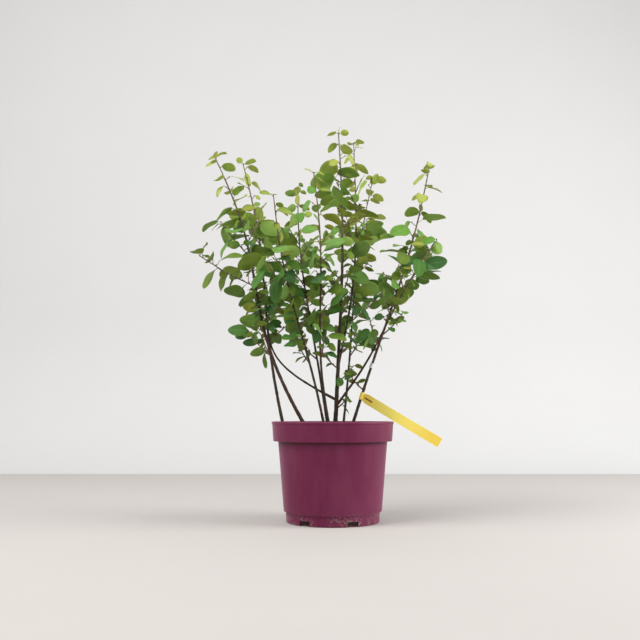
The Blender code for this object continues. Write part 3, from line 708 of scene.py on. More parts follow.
class Growth:
    """The leaves and twigs of one mass, each kept only where it fits the mass's space."""

    def __init__(self, mass, number, space):
        self.rng = Random(mass.seed)
        self.number = number
        self.space = space
        self.twigs = []
        self.fine_twigs = []
        self.leaves = []
        self.taken = np.empty((0, 3))
        self.clearance = LEAF_CLEARANCE
        self.spray = 0

    def add_leaf(self, root, turn, age, scale):
        """Tries the leaf at angle after angle, smaller after half the tries, and skips it if none fits."""
        for attempt in range(TRIES):
            size = scale if attempt < TRIES // 2 else 0.78 * scale
            leaf = leaf_at(self.rng, root, turn + attempt * 0.45, age, size)
            grid = blade_points(leaf, BLADE_GRID)
            if not self.space.holds(grid, self.number):
                continue
            if len(self.taken):
                if distances(grid, self.taken).min() < self.clearance:
                    continue
            self.taken = np.concatenate((self.taken, grid))
            self.leaves.append(leaf._replace(spray=self.spray))
            return

    def add_twig(self, root, turn, length, age, size):
        """A side twig that curves up, longer where it points out of the crown, with leaves to its end."""
        way = np.linspace(0.0, 1.0, 3)[:, None]
        for attempt in range(TRIES // 2):
            out = level(turn + attempt * 0.8)
            rise = self.rng.uniform(*TWIG_RISE)
            reach = length * 0.88**attempt * (1.0 + TWIG_OUTWARD * (out @ unit(root * LEVEL)))
            path = root + reach * (out * math.cos(rise) * way + UP * (math.sin(rise) + 0.15 * way) * way)
            if self.space.holds(path[1:], self.number):
                self.twigs.append(Twig(path, np.linspace(TWIG_RADIUS, TIP_RADIUS, 3)))
                self.spray = len(self.twigs)
                shoot = Shoot(path)
                self.leaves_along(shoot, min(0.009, 0.4 * reach), age, turn, size)
                self.add_leaf(path[-1] - unit(path[-1] - path[-2]) * 0.0012, turn + 0.4, age, size)
                self.spray = 0
                return

    def leaves_along(self, shoot, reach, age, turn, size):
        while reach < shoot.total - 0.004:
            turn += GOLDEN_TURN + self.rng.uniform(-0.3, 0.3)
            self.add_leaf(shoot.at(reach), turn, age, size)
            reach += SPUR_STEP * size * self.rng.uniform(0.8, 1.2)

    def run(self, mass):
        """Leafy twigs on the lower part of the mass's stem, and single leaves up to its tip."""
        shoot = Shoot(mass.path)
        rng = self.rng
        turn = rng.uniform(0.0, math.tau)
        step = LEAF_STEP * mass.leaf
        reach = step * (0.5 if mass.twig else 0.8)
        while reach < shoot.total - 0.006:
            turn += GOLDEN_TURN + rng.uniform(-0.25, 0.25)
            age = reach / shoot.total
            if mass.twig and age < TWIG_UNTIL:
                length = mass.twig * rng.uniform(*TWIG_SHARES) * (1.0 - 0.4 * age)
                size = LOW_LEAF + (1.0 - LOW_LEAF) * min(1.0, age / LOW_UNTIL)
                self.add_twig(shoot.at(reach), turn, length, age, size)
                reach += TWIG_STEP * rng.uniform(0.8, 1.2)
            else:
                young = 1.0 - max(0.0, age - 0.55) if mass.twig else mass.leaf
                self.add_leaf(shoot.at(reach), turn, age, young)
                reach += step * rng.uniform(0.8, 1.2)
        for turns in (1, 2):
            young = 0.50 if mass.twig else 0.85 * mass.leaf
            tip = shoot.at(shoot.total - 0.0015 * turns)
            self.add_leaf(tip, turn + GOLDEN_TURN * turns, 1.0, young * rng.uniform(0.8, 1.2))
        return self

    def add_fine_twig(self, root, turn, age, scale):
        """A short fine twig with a small leaf at its end, or the leaf alone where no such twig has room."""
        way = np.linspace(0.0, 1.0, 3)[:, None]
        rise = self.rng.uniform(*FINE_RISE)
        length = self.rng.uniform(*FINE_TWIG) * (1.0 - 0.5 * age)
        path = root + length * (level(turn) * math.cos(rise) * way + UP * (math.sin(rise) + 0.15 * way) * way)
        room = self.space.holds(path[1:], self.number)
        if room and len(self.taken):
            room = distances(path[1:], self.taken).min() > self.clearance
        leaves = len(self.leaves)
        self.add_leaf(path[-1] if room else root, turn, age, scale)
        if room and len(self.leaves) > leaves:
            self.fine_twigs.append(Twig(path, FINE_RADII))

    def run_finer(self, mass):
        """Goes on between the rule's leaves: fine twigs and small leaves, where there is room for them."""
        self.rng = Random(mass.seed + 1000)
        self.clearance = FINE_CLEARANCE
        shoots = [(Shoot(mass.path), 0)] + [(Shoot(twig.path), row) for row, twig in enumerate(self.twigs, 1)]
        for shoot, spray in shoots:
            self.spray = spray
            turn = self.rng.uniform(0.0, math.tau)
            reach = FINE_STEP
            while reach < shoot.total:
                turn += GOLDEN_TURN
                age = reach / shoot.total
                self.add_fine_twig(shoot.at(reach), turn, age, self.rng.uniform(*FINE_SCALE) * (1.0 - 0.1 * age))
                reach += FINE_STEP * (0.75 + FINE_THINNING * age) * self.rng.uniform(0.8, 1.6)
        return self


def grow_all():
    """The limbs, the masses and each mass's finished growth."""
    limbs = all_limbs()
    masses = all_masses(limbs)
    space = Space(limbs, masses)
    growths = [Growth(mass, number, space).run(mass).run_finer(mass) for number, mass in enumerate(masses)]
    return limbs, masses, growths


PLANT = {}


def plant():
    """The grown shrub, worked out once."""
    if not PLANT:
        PLANT["limbs"], PLANT["masses"], PLANT["growths"] = grow_all()
    return PLANT


# Pieces


def fit(piece, slot, *nodes):
    """The piece rides on the one body and stands for these solids, which are hidden. The slot is not used."""
    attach(piece, BODY)
    if nodes:
        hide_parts(*nodes)
    return piece


def outer_profile():
    """The pot's outside from the centre of its underside to the top of the rim's bead."""
    return [
        (0.0, 0.0),
        (FOOT_RADIUS - 0.0010, 0.0),
        (FOOT_RADIUS, 0.0010),
        (FOOT_RADIUS + 0.0004, FOOT_HEIGHT),
        (BODY_RADIUS_LOW, FOOT_HEIGHT + 0.0016),
        (BODY_RADIUS_TOP, BAND_BOTTOM),
        (BAND_RADIUS_LOW, BAND_BOTTOM),
        (BAND_RADIUS_TOP, POT_HEIGHT - BEAD_HEIGHT),
        (RIM_RADIUS, POT_HEIGHT - BEAD_HEIGHT + 0.0008),
        (RIM_RADIUS, POT_HEIGHT - 0.0012),
        (RIM_RADIUS - 0.0012, POT_HEIGHT),
    ]


def inner_profile(inset=0.0):
    """The pot's inside from the shoulder under its band down to its floor, moved in by the inset."""
    wall = WALL + inset
    return [
        (BAND_RADIUS_LOW - wall, BAND_BOTTOM + wall),
        (BODY_RADIUS_TOP - wall, BAND_BOTTOM + wall),
        (BODY_RADIUS_LOW - wall, FOOT_HEIGHT + wall),
        (FOOT_RADIUS - wall, FOOT_HEIGHT + wall),
        (FOOT_RADIUS - wall, FLOOR + inset),
        (0.0, FLOOR + inset),
    ]


def inner_band_radius(height, inset=0.0):
    """The inside radius of the pot's band at this height."""
    share = (height - BAND_BOTTOM) / (POT_HEIGHT - BEAD_HEIGHT - BAND_BOTTOM)
    return BAND_RADIUS_LOW + (BAND_RADIUS_TOP - BAND_RADIUS_LOW) * share - WALL - inset


def closed_at_axis(profile):
    """The profile with its two ends held a hair from the axis, where flat caps close them."""
    profile = np.array(profile, float)
    profile[[0, -1], 0] = 0.0004
    return profile


def cut_out(piece, blocks):
    """Cuts a set of closed blocks out of the piece."""
    cutter = new_piece("blocks", blocks.reshape(-1, 3), tube_faces(len(blocks), 2, 4), [])
    modifier = piece.modifiers.new("cut", "BOOLEAN")
    modifier.operation = "DIFFERENCE"
    modifier.object = cutter
    bpy.context.view_layer.objects.active = piece
    bpy.ops.object.modifier_apply(modifier=modifier.name)
    bpy.data.objects.remove(cutter, do_unlink=True)


BLOCK = np.array([(x, y, z) for z in (-1, 1) for x, y in ((-1, -1), (1, -1), (1, 1), (-1, 1))], float)


def cut_notches(piece):
    """Drainage notches round the foot: six blocks taken out of the wall."""
    turn = NOTCH_TURN + np.arange(NOTCH_COUNT) * math.tau / NOTCH_COUNT
    middle = FOOT_RADIUS - NOTCH_DEPTH + 0.010
    local = BLOCK * (0.010, NOTCH_WIDTH / 2.0, NOTCH_HEIGHT)
    out = np.stack((np.cos(turn), np.sin(turn), 0 * turn), 1)[:, None]
    side = np.stack((-np.sin(turn), np.cos(turn), 0 * turn), 1)[:, None]
    cut_out(piece, out * (middle + local[None, :, 0:1]) + side * local[None, :, 1:2] + UP * local[None, :, 2:3])


def make_pot(settings):
    lip = [(inner_band_radius(POT_HEIGHT) - 0.0004, POT_HEIGHT), (inner_band_radius(POT_HEIGHT), POT_HEIGHT - 0.003)]
    profile = closed_at_axis(rounded(outer_profile() + lip + inner_profile()))
    rings = turned_rings(profile, POT_SIDES)
    pot = new_piece("pot_shell", rings.reshape(-1, 3), tube_faces(1, len(profile), POT_SIDES), [pot_finish(settings)])
    cut_notches(pot)
    pot.data.set_sharp_from_angle(angle=math.radians(35))
    return fit(pot, "pot_plastic", "pot")


def make_soil(settings):
    """The filled pot's soil: a turned body whose top is heaped and pitted by seeded noise."""
    top = inner_band_radius(SOIL_TOP, GAP)
    spokes = np.linspace(0.0, top - 0.0010, 46)
    profile = [(radius, SOIL_TOP) for radius in spokes] + [(top, SOIL_TOP - 0.0010)] + inner_profile(GAP)
    profile = closed_at_axis(profile)[::-1]
    rings = turned_rings(profile, 96)
    lift = waves(rings, 0.030, 5, 4) * 0.0016 + waves(rings, 0.006, 6, 2) * 0.0006
    rings[..., 2] += np.where(rings[..., 2] > SOIL_TOP - 0.0005, np.clip(lift, -0.0025, 0.0020), 0.0)
    soil = new_piece("soil_bed", rings.reshape(-1, 3), tube_faces(1, len(profile), 96), [soil_finish(settings)])
    fit(soil, "potting_soil", "soil")
    rng = np.random.default_rng(8)
    count = settings.crumbs
    radius = (top - 0.006) * np.sqrt(rng.uniform(size=count))
    turn = rng.uniform(0.0, math.tau, count)
    size = 0.0008 + 0.0022 * rng.uniform(size=count) ** 2.5
    centre = np.stack((radius * np.cos(turn), radius * np.sin(turn), SOIL_TOP + 0.35 * size), -1)
    rings = lump_rings(rng, centre, size)
    paints = [plain_finish("soil_crumb", settings.light, 0.95, 0.0015, 0.0005)]
    paints += [plain_finish("bark_chip", settings.chip, 0.85, 0.0015, 0.0004)]
    paints += [plain_finish("pale_grit", settings.grit, 0.80, 0.0010, 0.0002)]
    faces = tube_faces(count, rings.shape[1], rings.shape[2])
    kind = np.searchsorted((0.72, 0.97), rng.uniform(size=count))
    slots = np.concatenate([np.repeat(kind, len(block) // count) for block in faces])
    crumbs = new_piece("soil_crumbs", rings.reshape(-1, 3), faces, paints, slots)
    return fit(crumbs, "potting_soil")


def lump_rings(rng, centre, size):
    """Small uneven balls: rings r sin p at height r cos p, each ball stretched and dented by its own numbers."""
    polar = np.linspace(0.25, math.pi - 0.25, 4)
    angle = np.arange(6) * math.tau / 6
    ball = np.stack(
        (
            np.sin(polar)[:, None] * np.cos(angle),
            np.sin(polar)[:, None] * np.sin(angle),
            -np.cos(polar)[:, None] + 0.0 * angle,
        ),
        -1,
    )
    stretch = rng.uniform((0.7, 0.6, 0.4), (1.4, 1.0, 0.9), (len(size), 3))
    dent = rng.uniform(0.80, 1.15, (len(size), 4, 6, 1))
    spin = rng.uniform(0.0, math.tau, len(size))
    local = ball[None] * stretch[:, None, None] * dent * size[:, None, None, None]
    c, s = np.cos(spin)[:, None, None], np.sin(spin)[:, None, None]
    turned = np.stack((c * local[..., 0] - s * local[..., 1], s * local[..., 0] + c * local[..., 1], local[..., 2]), -1)
    return turned + centre[:, None, None]


def limb_piece(name, limb, material):
    """A limb from the soil or its fork to its tip: rings along its curve, uneven with bark and swollen at nodes."""
    shares = limb_shares(limb, 0.0, 1.0, BARK_STEP)
    path = along(limb, shares)
    radii = thickness(limb, shares)
    reach = shares * (limb.tip[2] - limb.foot[2])
    if not limb.flare:
        radii = radii + 0.0010 * np.exp(-reach / 0.006)
    knots = 0.07 * np.exp(-(((reach / LEAF_STEP) % 1.0 - 0.5) ** 2) / 0.008)
    radii = radii * (1.0 + knots)
    rings = round_rings(path[None], radii[None, :, None] * np.ones(BARK_SIDES), BARK_SIDES)
    relief = 1.0 + 0.10 * waves(rings, 0.012, len(name), 3)
    rings = path[None, :, None] + (rings - path[None, :, None]) * relief[..., None]
    marks = {"reach": np.repeat(shares, BARK_SIDES)}
    return new_piece(name, rings.reshape(-1, 3), tube_faces(1, len(shares), BARK_SIDES), [material], marks=marks)


def node_of(name):
    """The name of a limb's solid."""
    return name if name == "trunk" or name in BOUGHS else "stem_" + name


def make_limbs(settings):
    material = bark_finish(settings)
    for name, limb in plant()["limbs"].items():
        node = node_of(name)
        fit(limb_piece(node + "_bark", limb, material), "bark", node)
    paths, radii, reaches = [], [], []
    for mass, growth in zip(plant()["masses"], plant()["growths"]):
        stems = [] if mass.twig else [(mass.path, mass.radii)]
        for path, ends in stems + growth.twigs + growth.fine_twigs:
            shoot = Shoot(path)
            reach = np.linspace(0.0, shoot.total, 7)
            paths.append([shoot.at(length) for length in reach])
            radii.append(np.interp(reach, shoot.lengths, ends))
            reaches.append(np.linspace(0.75, 1.0, 7))
    paths, radii = np.array(paths), np.array(radii)
    rings = round_rings(paths, radii[..., None] * np.ones(8), 8)
    faces = tube_faces(len(paths), 7, 8)
    twigs = new_piece("twigs", rings.reshape(-1, 3), faces, [material], marks={"reach": np.repeat(reaches, 8)})
    fit(twigs, "bark")
    make_buds(settings)
    return make_dried_flowers(settings)


def make_buds(settings):
    """A small pointed bud in the fork of every leaf's stalk."""
    leaves = [leaf for growth in plant()["growths"] for leaf in growth.leaves]
    root = np.array([leaf.root for leaf in leaves])
    out = unit(np.array([leaf.neck - leaf.root for leaf in leaves]) * (0.5, 0.5, 1.0))
    reach = np.array((0.0, 0.0012, 0.0024, 0.0034))
    paths = root[:, None] + out[:, None] * reach[None, :, None] + UP * 0.0004
    radii = np.array((0.0007, 0.0010, 0.0007, 0.0001))[None, :, None] * np.ones((len(leaves), 4, 6))
    rings = round_rings(paths, radii, 6)
    paint = plain_finish("bud_scales", settings.young, 0.55, 0.0012, 0.0002)
    buds = new_piece("buds", rings.reshape(-1, 3), tube_faces(len(leaves), 4, 6), [paint])
    return fit(buds, "bark")


def make_dried_flowers(settings):
    """Last spring's dried flower heads: small clusters of brown lumps on threads, high in the crown."""
    rng = np.random.default_rng(17)
    starts = []
    for mass in plant()["masses"]:
        shoot = Shoot(mass.path)
        starts += [shoot.at(share * shoot.total) for share in DRIED_ON.get(mass.name, ())]
    start = np.repeat(starts, DRIED_LUMPS, axis=0)
    out = np.repeat(unit(rng.normal(size=(len(starts), 3)) * (1.0, 1.0, 0.3)), DRIED_LUMPS, axis=0)
    knee = start + DRIED_REACH * (0.7 * out + 0.3 * UP)
    end = knee + unit(rng.normal(size=start.shape) + 0.8 * out) * rng.uniform(0.3, 0.8, (len(start), 1)) * DRIED_REACH
    paint = plain_finish("dried_flower", settings.dried, 0.85, 0.0008, 0.0003)
    lumps = lump_rings(rng, end, rng.uniform(0.0014, 0.0023, len(end)))
    faces = tube_faces(len(end), lumps.shape[1], lumps.shape[2])
    fit(new_piece("dried_flowers", lumps.reshape(-1, 3), faces, [paint]), "foliage")
    radii = np.full((len(end), 3, 1), DRIED_STALK_RADIUS) * np.ones(5)
    rings = round_rings(np.stack((start, knee, end), 1), radii, 5)
    return fit(new_piece("dried_stalks", rings.reshape(-1, 3), tube_faces(len(end), 3, 5), [paint]), "foliage")


LEAF_KINDS = ("deep", "mid", "fresh", "light", "lime", "pine", "sage", "moss", "olive", "bronze")


def kind_of(leaf, spray):
    """Which green a leaf has: lighter with height, partly as painted light high in the crown and painted shade low in
    it, lighter at the young tips, darker if large, by chance cool or warm.
    """
    height = (leaf.root[2] - 0.33) / 0.36
    grown = max(0.0, leaf.length / LEAF_LENGTH - 0.85)
    # Partly painted light: greens lighten up the crown where light falls on and through its top, and darken low where
    # the crown shades itself.
    shade = 4.35 * height + 1.2 * max(0.0, leaf.age - 0.6) - 3.0 * grown + spray.gauss(0.0, 0.75)
    chance = spray.random()
    if height > 0.70 and chance > 0.95:
        return "bronze"
    if shade < 4.2 and chance < WARM_SHARE:
        return "moss" if shade < 1.6 else "olive"
    if shade < 4.2 and chance > 1.0 - COOL_SHARE:
        return "pine" if shade < 1.2 else "sage"
    return LEAF_KINDS[int(min(4, max(0, math.floor(shade))))]


def leaf_rings(leaves, seed):
    """Each leaf as one closed tube: round rings along its stalk, then flat ones across its blade.

    The blade is P = neck + along L u + across(u) h(u) v + up (fold h |v| - sag(u) + ripple). Its width h is the
    rule's, its across turns with u by a slight twist, and its two faces are a leaf's thickness apart.
    """
    rng = np.random.default_rng(seed)
    count = len(leaves)
    root, neck, run, across, up = [np.array([getattr(leaf, key) for leaf in leaves])[:, None] for key in Leaf._fields[:5]]
    length, width, arch = [np.array([getattr(leaf, key) for leaf in leaves])[:, None] for key in ("length", "width", "arch")]
    u = 0.5 - 0.5 * np.cos(np.linspace(0.0, math.pi, BLADE_ROWS))[None]
    u = np.clip(u, 0.004, 0.996)
    half = 0.5 * width * np.sin(math.pi * u**0.85) ** BLADE_ROUNDNESS
    half = half * (1.0 + rng.uniform(-0.012, 0.012, half.shape))
    sag = arch * length * u * (2.0 * u - 1.0)
    fold = rng.uniform(0.02, 0.24, (count, 1))
    ripple = 0.10 * half * np.sin(rng.uniform(5.0, 9.0, (count, 1)) * u + rng.uniform(0.0, math.tau, (count, 1)))
    twist = rng.normal(0.0, 0.22, (count, 1)) * u
    sideways = across * np.cos(twist)[..., None] + up * np.sin(twist)[..., None]
    middle = neck + run * (length * u)[..., None] - up * sag[..., None]
    edge = np.abs(ACROSS)[None, None]
    lift = (half * fold)[..., None] * edge + ripple[..., None] * edge**2 + BLADE_HALF_THICKNESS * FACE_UP
    lift = lift - 0.0003 * (1.0 - u)[..., None] * (FACE_UP < 0.0)
    blade = middle[:, :, None] + sideways[:, :, None] * (half[..., None] * ACROSS)[..., None] + up[:, :, None] * lift[..., None]
    way = np.linspace(0.0, 0.97, STALK_ROWS)[None, :, None]
    line = root + (neck - root) * way - UP * (0.10 * np.linalg.norm(neck - root, axis=2, keepdims=True) * np.sin(math.pi * way))
    axis = unit(neck - root)
    side = unit(across - axis * (across * axis).sum(2, keepdims=True))
    rise = np.cross(side, axis)
    angle = np.arange(LEAF_CORNERS) * math.tau / LEAF_CORNERS
    ring = -np.cos(angle)[:, None] * side[:, :, None] + np.sin(angle)[:, None] * rise[:, :, None]
    thick = STALK_RADIUS * np.sqrt(length / LEAF_LENGTH)[..., None, None] * np.array((1.4, 1.0, 0.85))[None, :, None, None]
    return np.concatenate((line[:, :, None] + ring * thick, blade), 1), u


def leaf_faces(count, rows):
    """A tube's faces, with those below turned by a corner so that they fold along the same line as those above."""
    sides, caps = tube_faces(count, rows, LEAF_CORNERS)
    sides = sides.reshape(-1, LEAF_CORNERS, 4)
    return [np.where(ABOVE[:, None], sides, np.roll(sides, -1, axis=2)).reshape(-1, 4), caps]


def blend(colour, other, share):
    """The colour moved this share of the way to the other."""
    return tuple((1.0 - share) * part + share * aim for part, aim in zip(colour, other))


WARM_SHARE = 0.24
COOL_SHARE = 0.26
HEART_SHARES = dict(zip(LEAF_KINDS, (0.0, 0.05, 0.10, 0.20, 0.25, 0.0, 0.0, 0.10, 0.20, 0.40)))
MARGIN_SHARES = dict(zip(LEAF_KINDS, (0.10, 0.12, 0.24, 0.50, 0.46, 0.10, 0.18, 0.20, 0.42, 0.60)))
UNDER_SHARES = dict(zip(LEAF_KINDS, (0.18, 0.22, 0.24, 0.34, 0.50, 0.18, 0.24, 0.20, 0.26, 0.30)))


def make_leaves(settings):
    """All leaves, joined by their green. Every spray's leaves share their greens."""
    groups = {kind: [] for kind in LEAF_KINDS}
    for mass, growth in zip(plant()["masses"], plant()["growths"]):
        for number, leaf in enumerate(growth.leaves):
            spray = Random(mass.seed * 1000 + (leaf.spray if leaf.spray else 100 + number))
            groups[kind_of(leaf, spray)].append(leaf)
    nodes = [mass.name for mass in plant()["masses"]]
    rows = STALK_ROWS + BLADE_ROWS
    stalk = plain_finish("leaf_stalk", settings.stalk, 0.5, 0.004, 0.0001)
    for seed, (kind, leaves) in enumerate(groups.items()):
        if not leaves:
            continue
        colour = tuple(getattr(settings, kind))
        vein = blend(colour, settings.vein, 0.45)
        under = blend(colour, settings.under, UNDER_SHARES[kind])
        heart = blend(colour, settings.heart, HEART_SHARES[kind])
        margin = blend(colour, settings.margin, MARGIN_SHARES[kind])
        paints = [
            leaf_finish("leaf_" + kind, colour, vein, heart, margin, 0.17),
            leaf_finish("leaf_under_" + kind, under, vein, under, under, 0.08),
            stalk,
        ]
        rings, u = leaf_rings(leaves, seed)
        faces = leaf_faces(len(leaves), rows)
        slot = np.tile(np.where(ABOVE, 0, 1), (rows - 1, 1))
        slot[: STALK_ROWS - 1] = 2
        slots = np.concatenate((np.tile(slot.ravel(), len(leaves)), np.full(2 * len(leaves), 2)))
        reach = np.concatenate((np.zeros(STALK_ROWS), u[0]))
        marks = {
            "along": np.tile(np.repeat(reach, LEAF_CORNERS), len(leaves)),
            "across": np.tile(np.tile(ACROSS, rows), len(leaves)),
        }
        piece = new_piece("leaves_" + kind, rings.reshape(-1, 3), faces, paints, slots, marks)
        piece.data.set_sharp_from_angle(angle=math.radians(75))
        fit(piece, "foliage", *nodes)


def place_on(limb, height):
    """Where a limb's curve passes this height, which way it runs there and its radius."""
    shares = np.linspace(0.0, 0.6, 600)
    path = along(limb, shares)
    row = int(np.searchsorted(path[:, 2], height))
    return path[row], unit(path[row + 1] - path[row]), thickness(limb, shares)[row]


def band_rings(centre, axis, inner, wall, height, steps=40):
    """A sleeve about an axis, as one tube whose square rings go all the way round."""
    side = unit(np.cross(axis, (0.0, 1.0, 0.0)))
    other = np.cross(axis, side)
    angle = np.linspace(0.0, math.tau, steps)
    out = np.cos(angle)[:, None] * side + np.sin(angle)[:, None] * other
    corners = np.array(((0.0, -0.5), (0.0, 0.5), (1.0, 0.5), (1.0, -0.5)))
    radius = inner + wall * corners[:, 0]
    return (centre + out[:, None] * radius[None, :, None] + axis * (height * corners[:, 1])[None, :, None])[None]


def make_label(settings):
    """A thin strip that hangs by its loop and bends a little. The loop's tail shows through a slit in it."""
    centre, axis, radius = place_on(plant()["limbs"]["right"], LABEL_HEIGHT)
    inner = radius + COLLAR_CLEARANCE
    run = np.array(LABEL_END) - centre
    length = np.linalg.norm(run)
    run = unit(run)
    width = unit(UP - run * run[2])
    normal = np.cross(run, width)
    t = np.linspace(0.0, 1.0, 40)
    reach = inner + (length - inner) * t
    neck = np.clip((reach - inner) / (LABEL_SHOULDER - inner), 0.0, 1.0)
    half = 0.5 * (LABEL_NECK * 0.9 + (LABEL_WIDTH - LABEL_NECK * 0.9) * neck * neck * (3.0 - 2.0 * neck))
    half = half * np.clip((1.0 - t) / 0.02, 0.0, 1.0) ** 0.5 * 0.06 + half * 0.94
    bend = 0.0018 * np.sin(math.pi * t)
    line = centre + run * reach[:, None] + normal * bend[:, None]
    corners = np.array(((-1.0, -0.5), (1.0, -0.5), (1.0, 0.5), (-1.0, 0.5)))
    across = (half[:, None] * corners[:, 0])[..., None]
    lean = (axis @ run) / (axis @ width) * (1.0 - neck)
    rings = line[:, None] + (width + run * lean[:, None, None]) * across
    rings = rings + normal * (LABEL_THICKNESS * corners[:, 1])[None, :, None]
    material = label_finish(settings)
    marks = {"reach": np.repeat(t, 4)}
    strip = new_piece("label", rings.reshape(-1, 3), tube_faces(1, 40, 4), [material], marks=marks)
    slot = BLOCK * (SLOT_SIZE[0] / 2.0, SLOT_SIZE[1] / 2.0, 0.004)
    cut_out(strip, (centre + run * (SLOT_PLACE + slot[:, 0:1]) + width * slot[:, 1:2] + normal * slot[:, 2:3])[None])
    strip.data.set_sharp_from_angle(angle=math.radians(35))
    fit(strip, "label_plastic", "label_strip")
    ends = centre + run * np.linspace(inner, TAIL_LENGTH, 3)[:, None] - normal * TAIL_OFFSET
    spread = width * (0.5 * TAIL_WIDTH * corners[:, 0:1]) + normal * (TAIL_THICKNESS * corners[:, 1:2])
    rings = ends[:, None] + spread
    # Painted shade: the tail seen through the slit is coloured a dark ochre for the shadow there.
    shaded = plain_finish("label_fold", settings.fold, 0.5, 0.003, 0.0001)
    fit(new_piece("label_tail", rings.reshape(-1, 3), tube_faces(1, 3, 4), [shaded]), "label_plastic")
    rings = band_rings(centre, axis, inner, LABEL_THICKNESS, LABEL_NECK)
    marks = {"reach": np.zeros(rings.shape[1] * 4)}
    loop = new_piece("label_loop", rings.reshape(-1, 3), tube_faces(1, rings.shape[1], 4), [material], marks=marks)
    loop.data.set_sharp_from_angle(angle=math.radians(35))
    fit(loop, "label_plastic")
    centre, axis, radius = place_on(plant()["limbs"]["right"], TIE_HEIGHT)
    rings = band_rings(centre, axis, radius + COLLAR_CLEARANCE, TIE_THICKNESS, TIE_LENGTH)
    paint = plain_finish("tie_plastic", settings.tie, 0.5, 0.003, 0.0002)
    tie = new_piece("tie", rings.reshape(-1, 3), tube_faces(1, rings.shape[1], 4), [paint])
    tie.data.set_sharp_from_angle(angle=math.radians(35))
    return fit(tie, "tie_plastic", "stem_tie")


def area_light(name, place, aim, size, power, colour):
    """A soft square lamp that looks from its place at its aim."""
    lamp = bpy.data.lights.new(name, "AREA")
    lamp.shape = "SQUARE"
    lamp.size = size
    lamp.energy = power
    lamp.color = colour
    holder = bpy.data.objects.new(name, lamp)
    bpy.context.scene.collection.objects.link(holder)
    holder.location = place
    way = unit(np.array(place) - np.array(aim))
    holder.rotation_euler = (math.acos(way[2]), 0.0, math.atan2(way[0], -way[1]))
    return holder


def make_stage(settings):
    """A pale floor that curves up into a backdrop, soft lamps, an even sky and the camera."""
    depth = np.array([-4.0, 1.2] + [1.2 + 0.6 * math.sin(a) for a in np.linspace(0.1, 1.57, 8)] + [1.8])
    rise = np.array([0.0, 0.0] + [0.6 - 0.6 * math.cos(a) for a in np.linspace(0.1, 1.57, 8)] + [4.0])
    side = np.linspace(-5.0, 5.0, 3)
    points = np.stack(np.broadcast_arrays(side[None], depth[:, None], rise[:, None] - GAP), -1)
    row, column = np.meshgrid(np.arange(len(depth) - 1) * 3, np.arange(2), indexing="ij")
    corner = (row + column).reshape(-1, 1)
    paints = [
        plain_finish("stage_floor", settings.floor, 0.9, 0.2, 0.0, 0.99),
        plain_finish("stage_backdrop", settings.backdrop, 0.9, 0.2, 0.0, 0.99),
    ]
    slots = (row.ravel() > 0).astype(int)
    floor = new_piece("stage_floor", points.reshape(-1, 3), [corner + np.array((0, 1, 4, 3))], paints, slots)
    area_light("window", (-1.4, -1.0, 2.1), (0.0, 0.0, 0.35), 1.5, settings.window, (1.0, 0.99, 0.97))
    area_light("fill", (2.1, -0.4, 1.0), (0.0, 0.0, 0.30), 1.4, settings.fill, (1.0, 1.0, 1.0))
    bpy.context.scene.view_settings.view_transform = "Standard"
    world = bpy.data.worlds.new("soft_sky")
    world.use_nodes = True
    world.node_tree.nodes["Background"].inputs[0].default_value = (0.98, 0.99, 1.0, 1.0)
    world.node_tree.nodes["Background"].inputs[1].default_value = settings.sky
    bpy.context.scene.world = world
    camera = bpy.data.cameras.new("camera")
    camera.lens = LENS
    camera.sensor_width = SENSOR
    holder = bpy.data.objects.new("camera", camera)
    bpy.context.scene.collection.objects.link(holder)
    holder.location = CAMERA_PLACE
    holder.rotation_euler = (CAMERA_TILT, 0.0, 0.0)
    bpy.context.scene.camera = holder


# Settings, operators and panel


def tint(name, description, default):
    """A colour setting, given as linear red, green and blue."""
    return FloatVectorProperty(
        name=name, description=description, default=default, size=3, subtype="COLOR", min=0.0, max=1.0
    )


class PotSettings(bpy.types.PropertyGroup):
    colour: tint("Plastic", "Colour of the pot's plastic", (0.130, 0.009, 0.046))
    pale: tint("Pale plastic", "Colour of its rim and flow streaks", (0.200, 0.048, 0.095))
    # Painted shadow colour for the plastic close under the band.
    band_shadow_colour: tint("Sheltered plastic", "Colour of the plastic close under the band", (0.045, 0.002, 0.012))
    dust: tint("Dust", "Colour of the dust on its foot", (0.300, 0.240, 0.200))


class SoilSettings(bpy.types.PropertyGroup):
    dark: tint("Dark soil", "Colour of the moist soil", (0.016, 0.011, 0.008))
    light: tint("Light soil", "Colour of its crumbs", (0.055, 0.037, 0.024))
    chip: tint("Bark chips", "Colour of the bark chips in it", (0.130, 0.075, 0.040))
    grit: tint("Grit", "Colour of the pale grit in it", (0.600, 0.570, 0.520))
    crumbs: IntProperty(name="Crumbs", description="How many crumbs lie on the soil", default=900, min=0)


class BarkSettings(bpy.types.PropertyGroup):
    old: tint("Old bark", "Colour of the bark low on the stems", (0.026, 0.017, 0.008))
    bloom: tint("Bloom", "Grey bloom over the old bark", (0.064, 0.048, 0.028))
    russet: tint("Russet bark", "Colour of the smoother, redder bark", (0.085, 0.030, 0.020))
    young: tint("Young wood", "Colour of last year's wood", (0.072, 0.040, 0.031))
    shoot: tint("Shoot", "Colour of this year's shoots", (0.205, 0.160, 0.100))
    pores: tint("Pores", "Colour of the pores in the bark", (0.230, 0.185, 0.140))
    dried: tint("Dried flowers", "Colour of last spring's dried flower heads", (0.130, 0.062, 0.036))


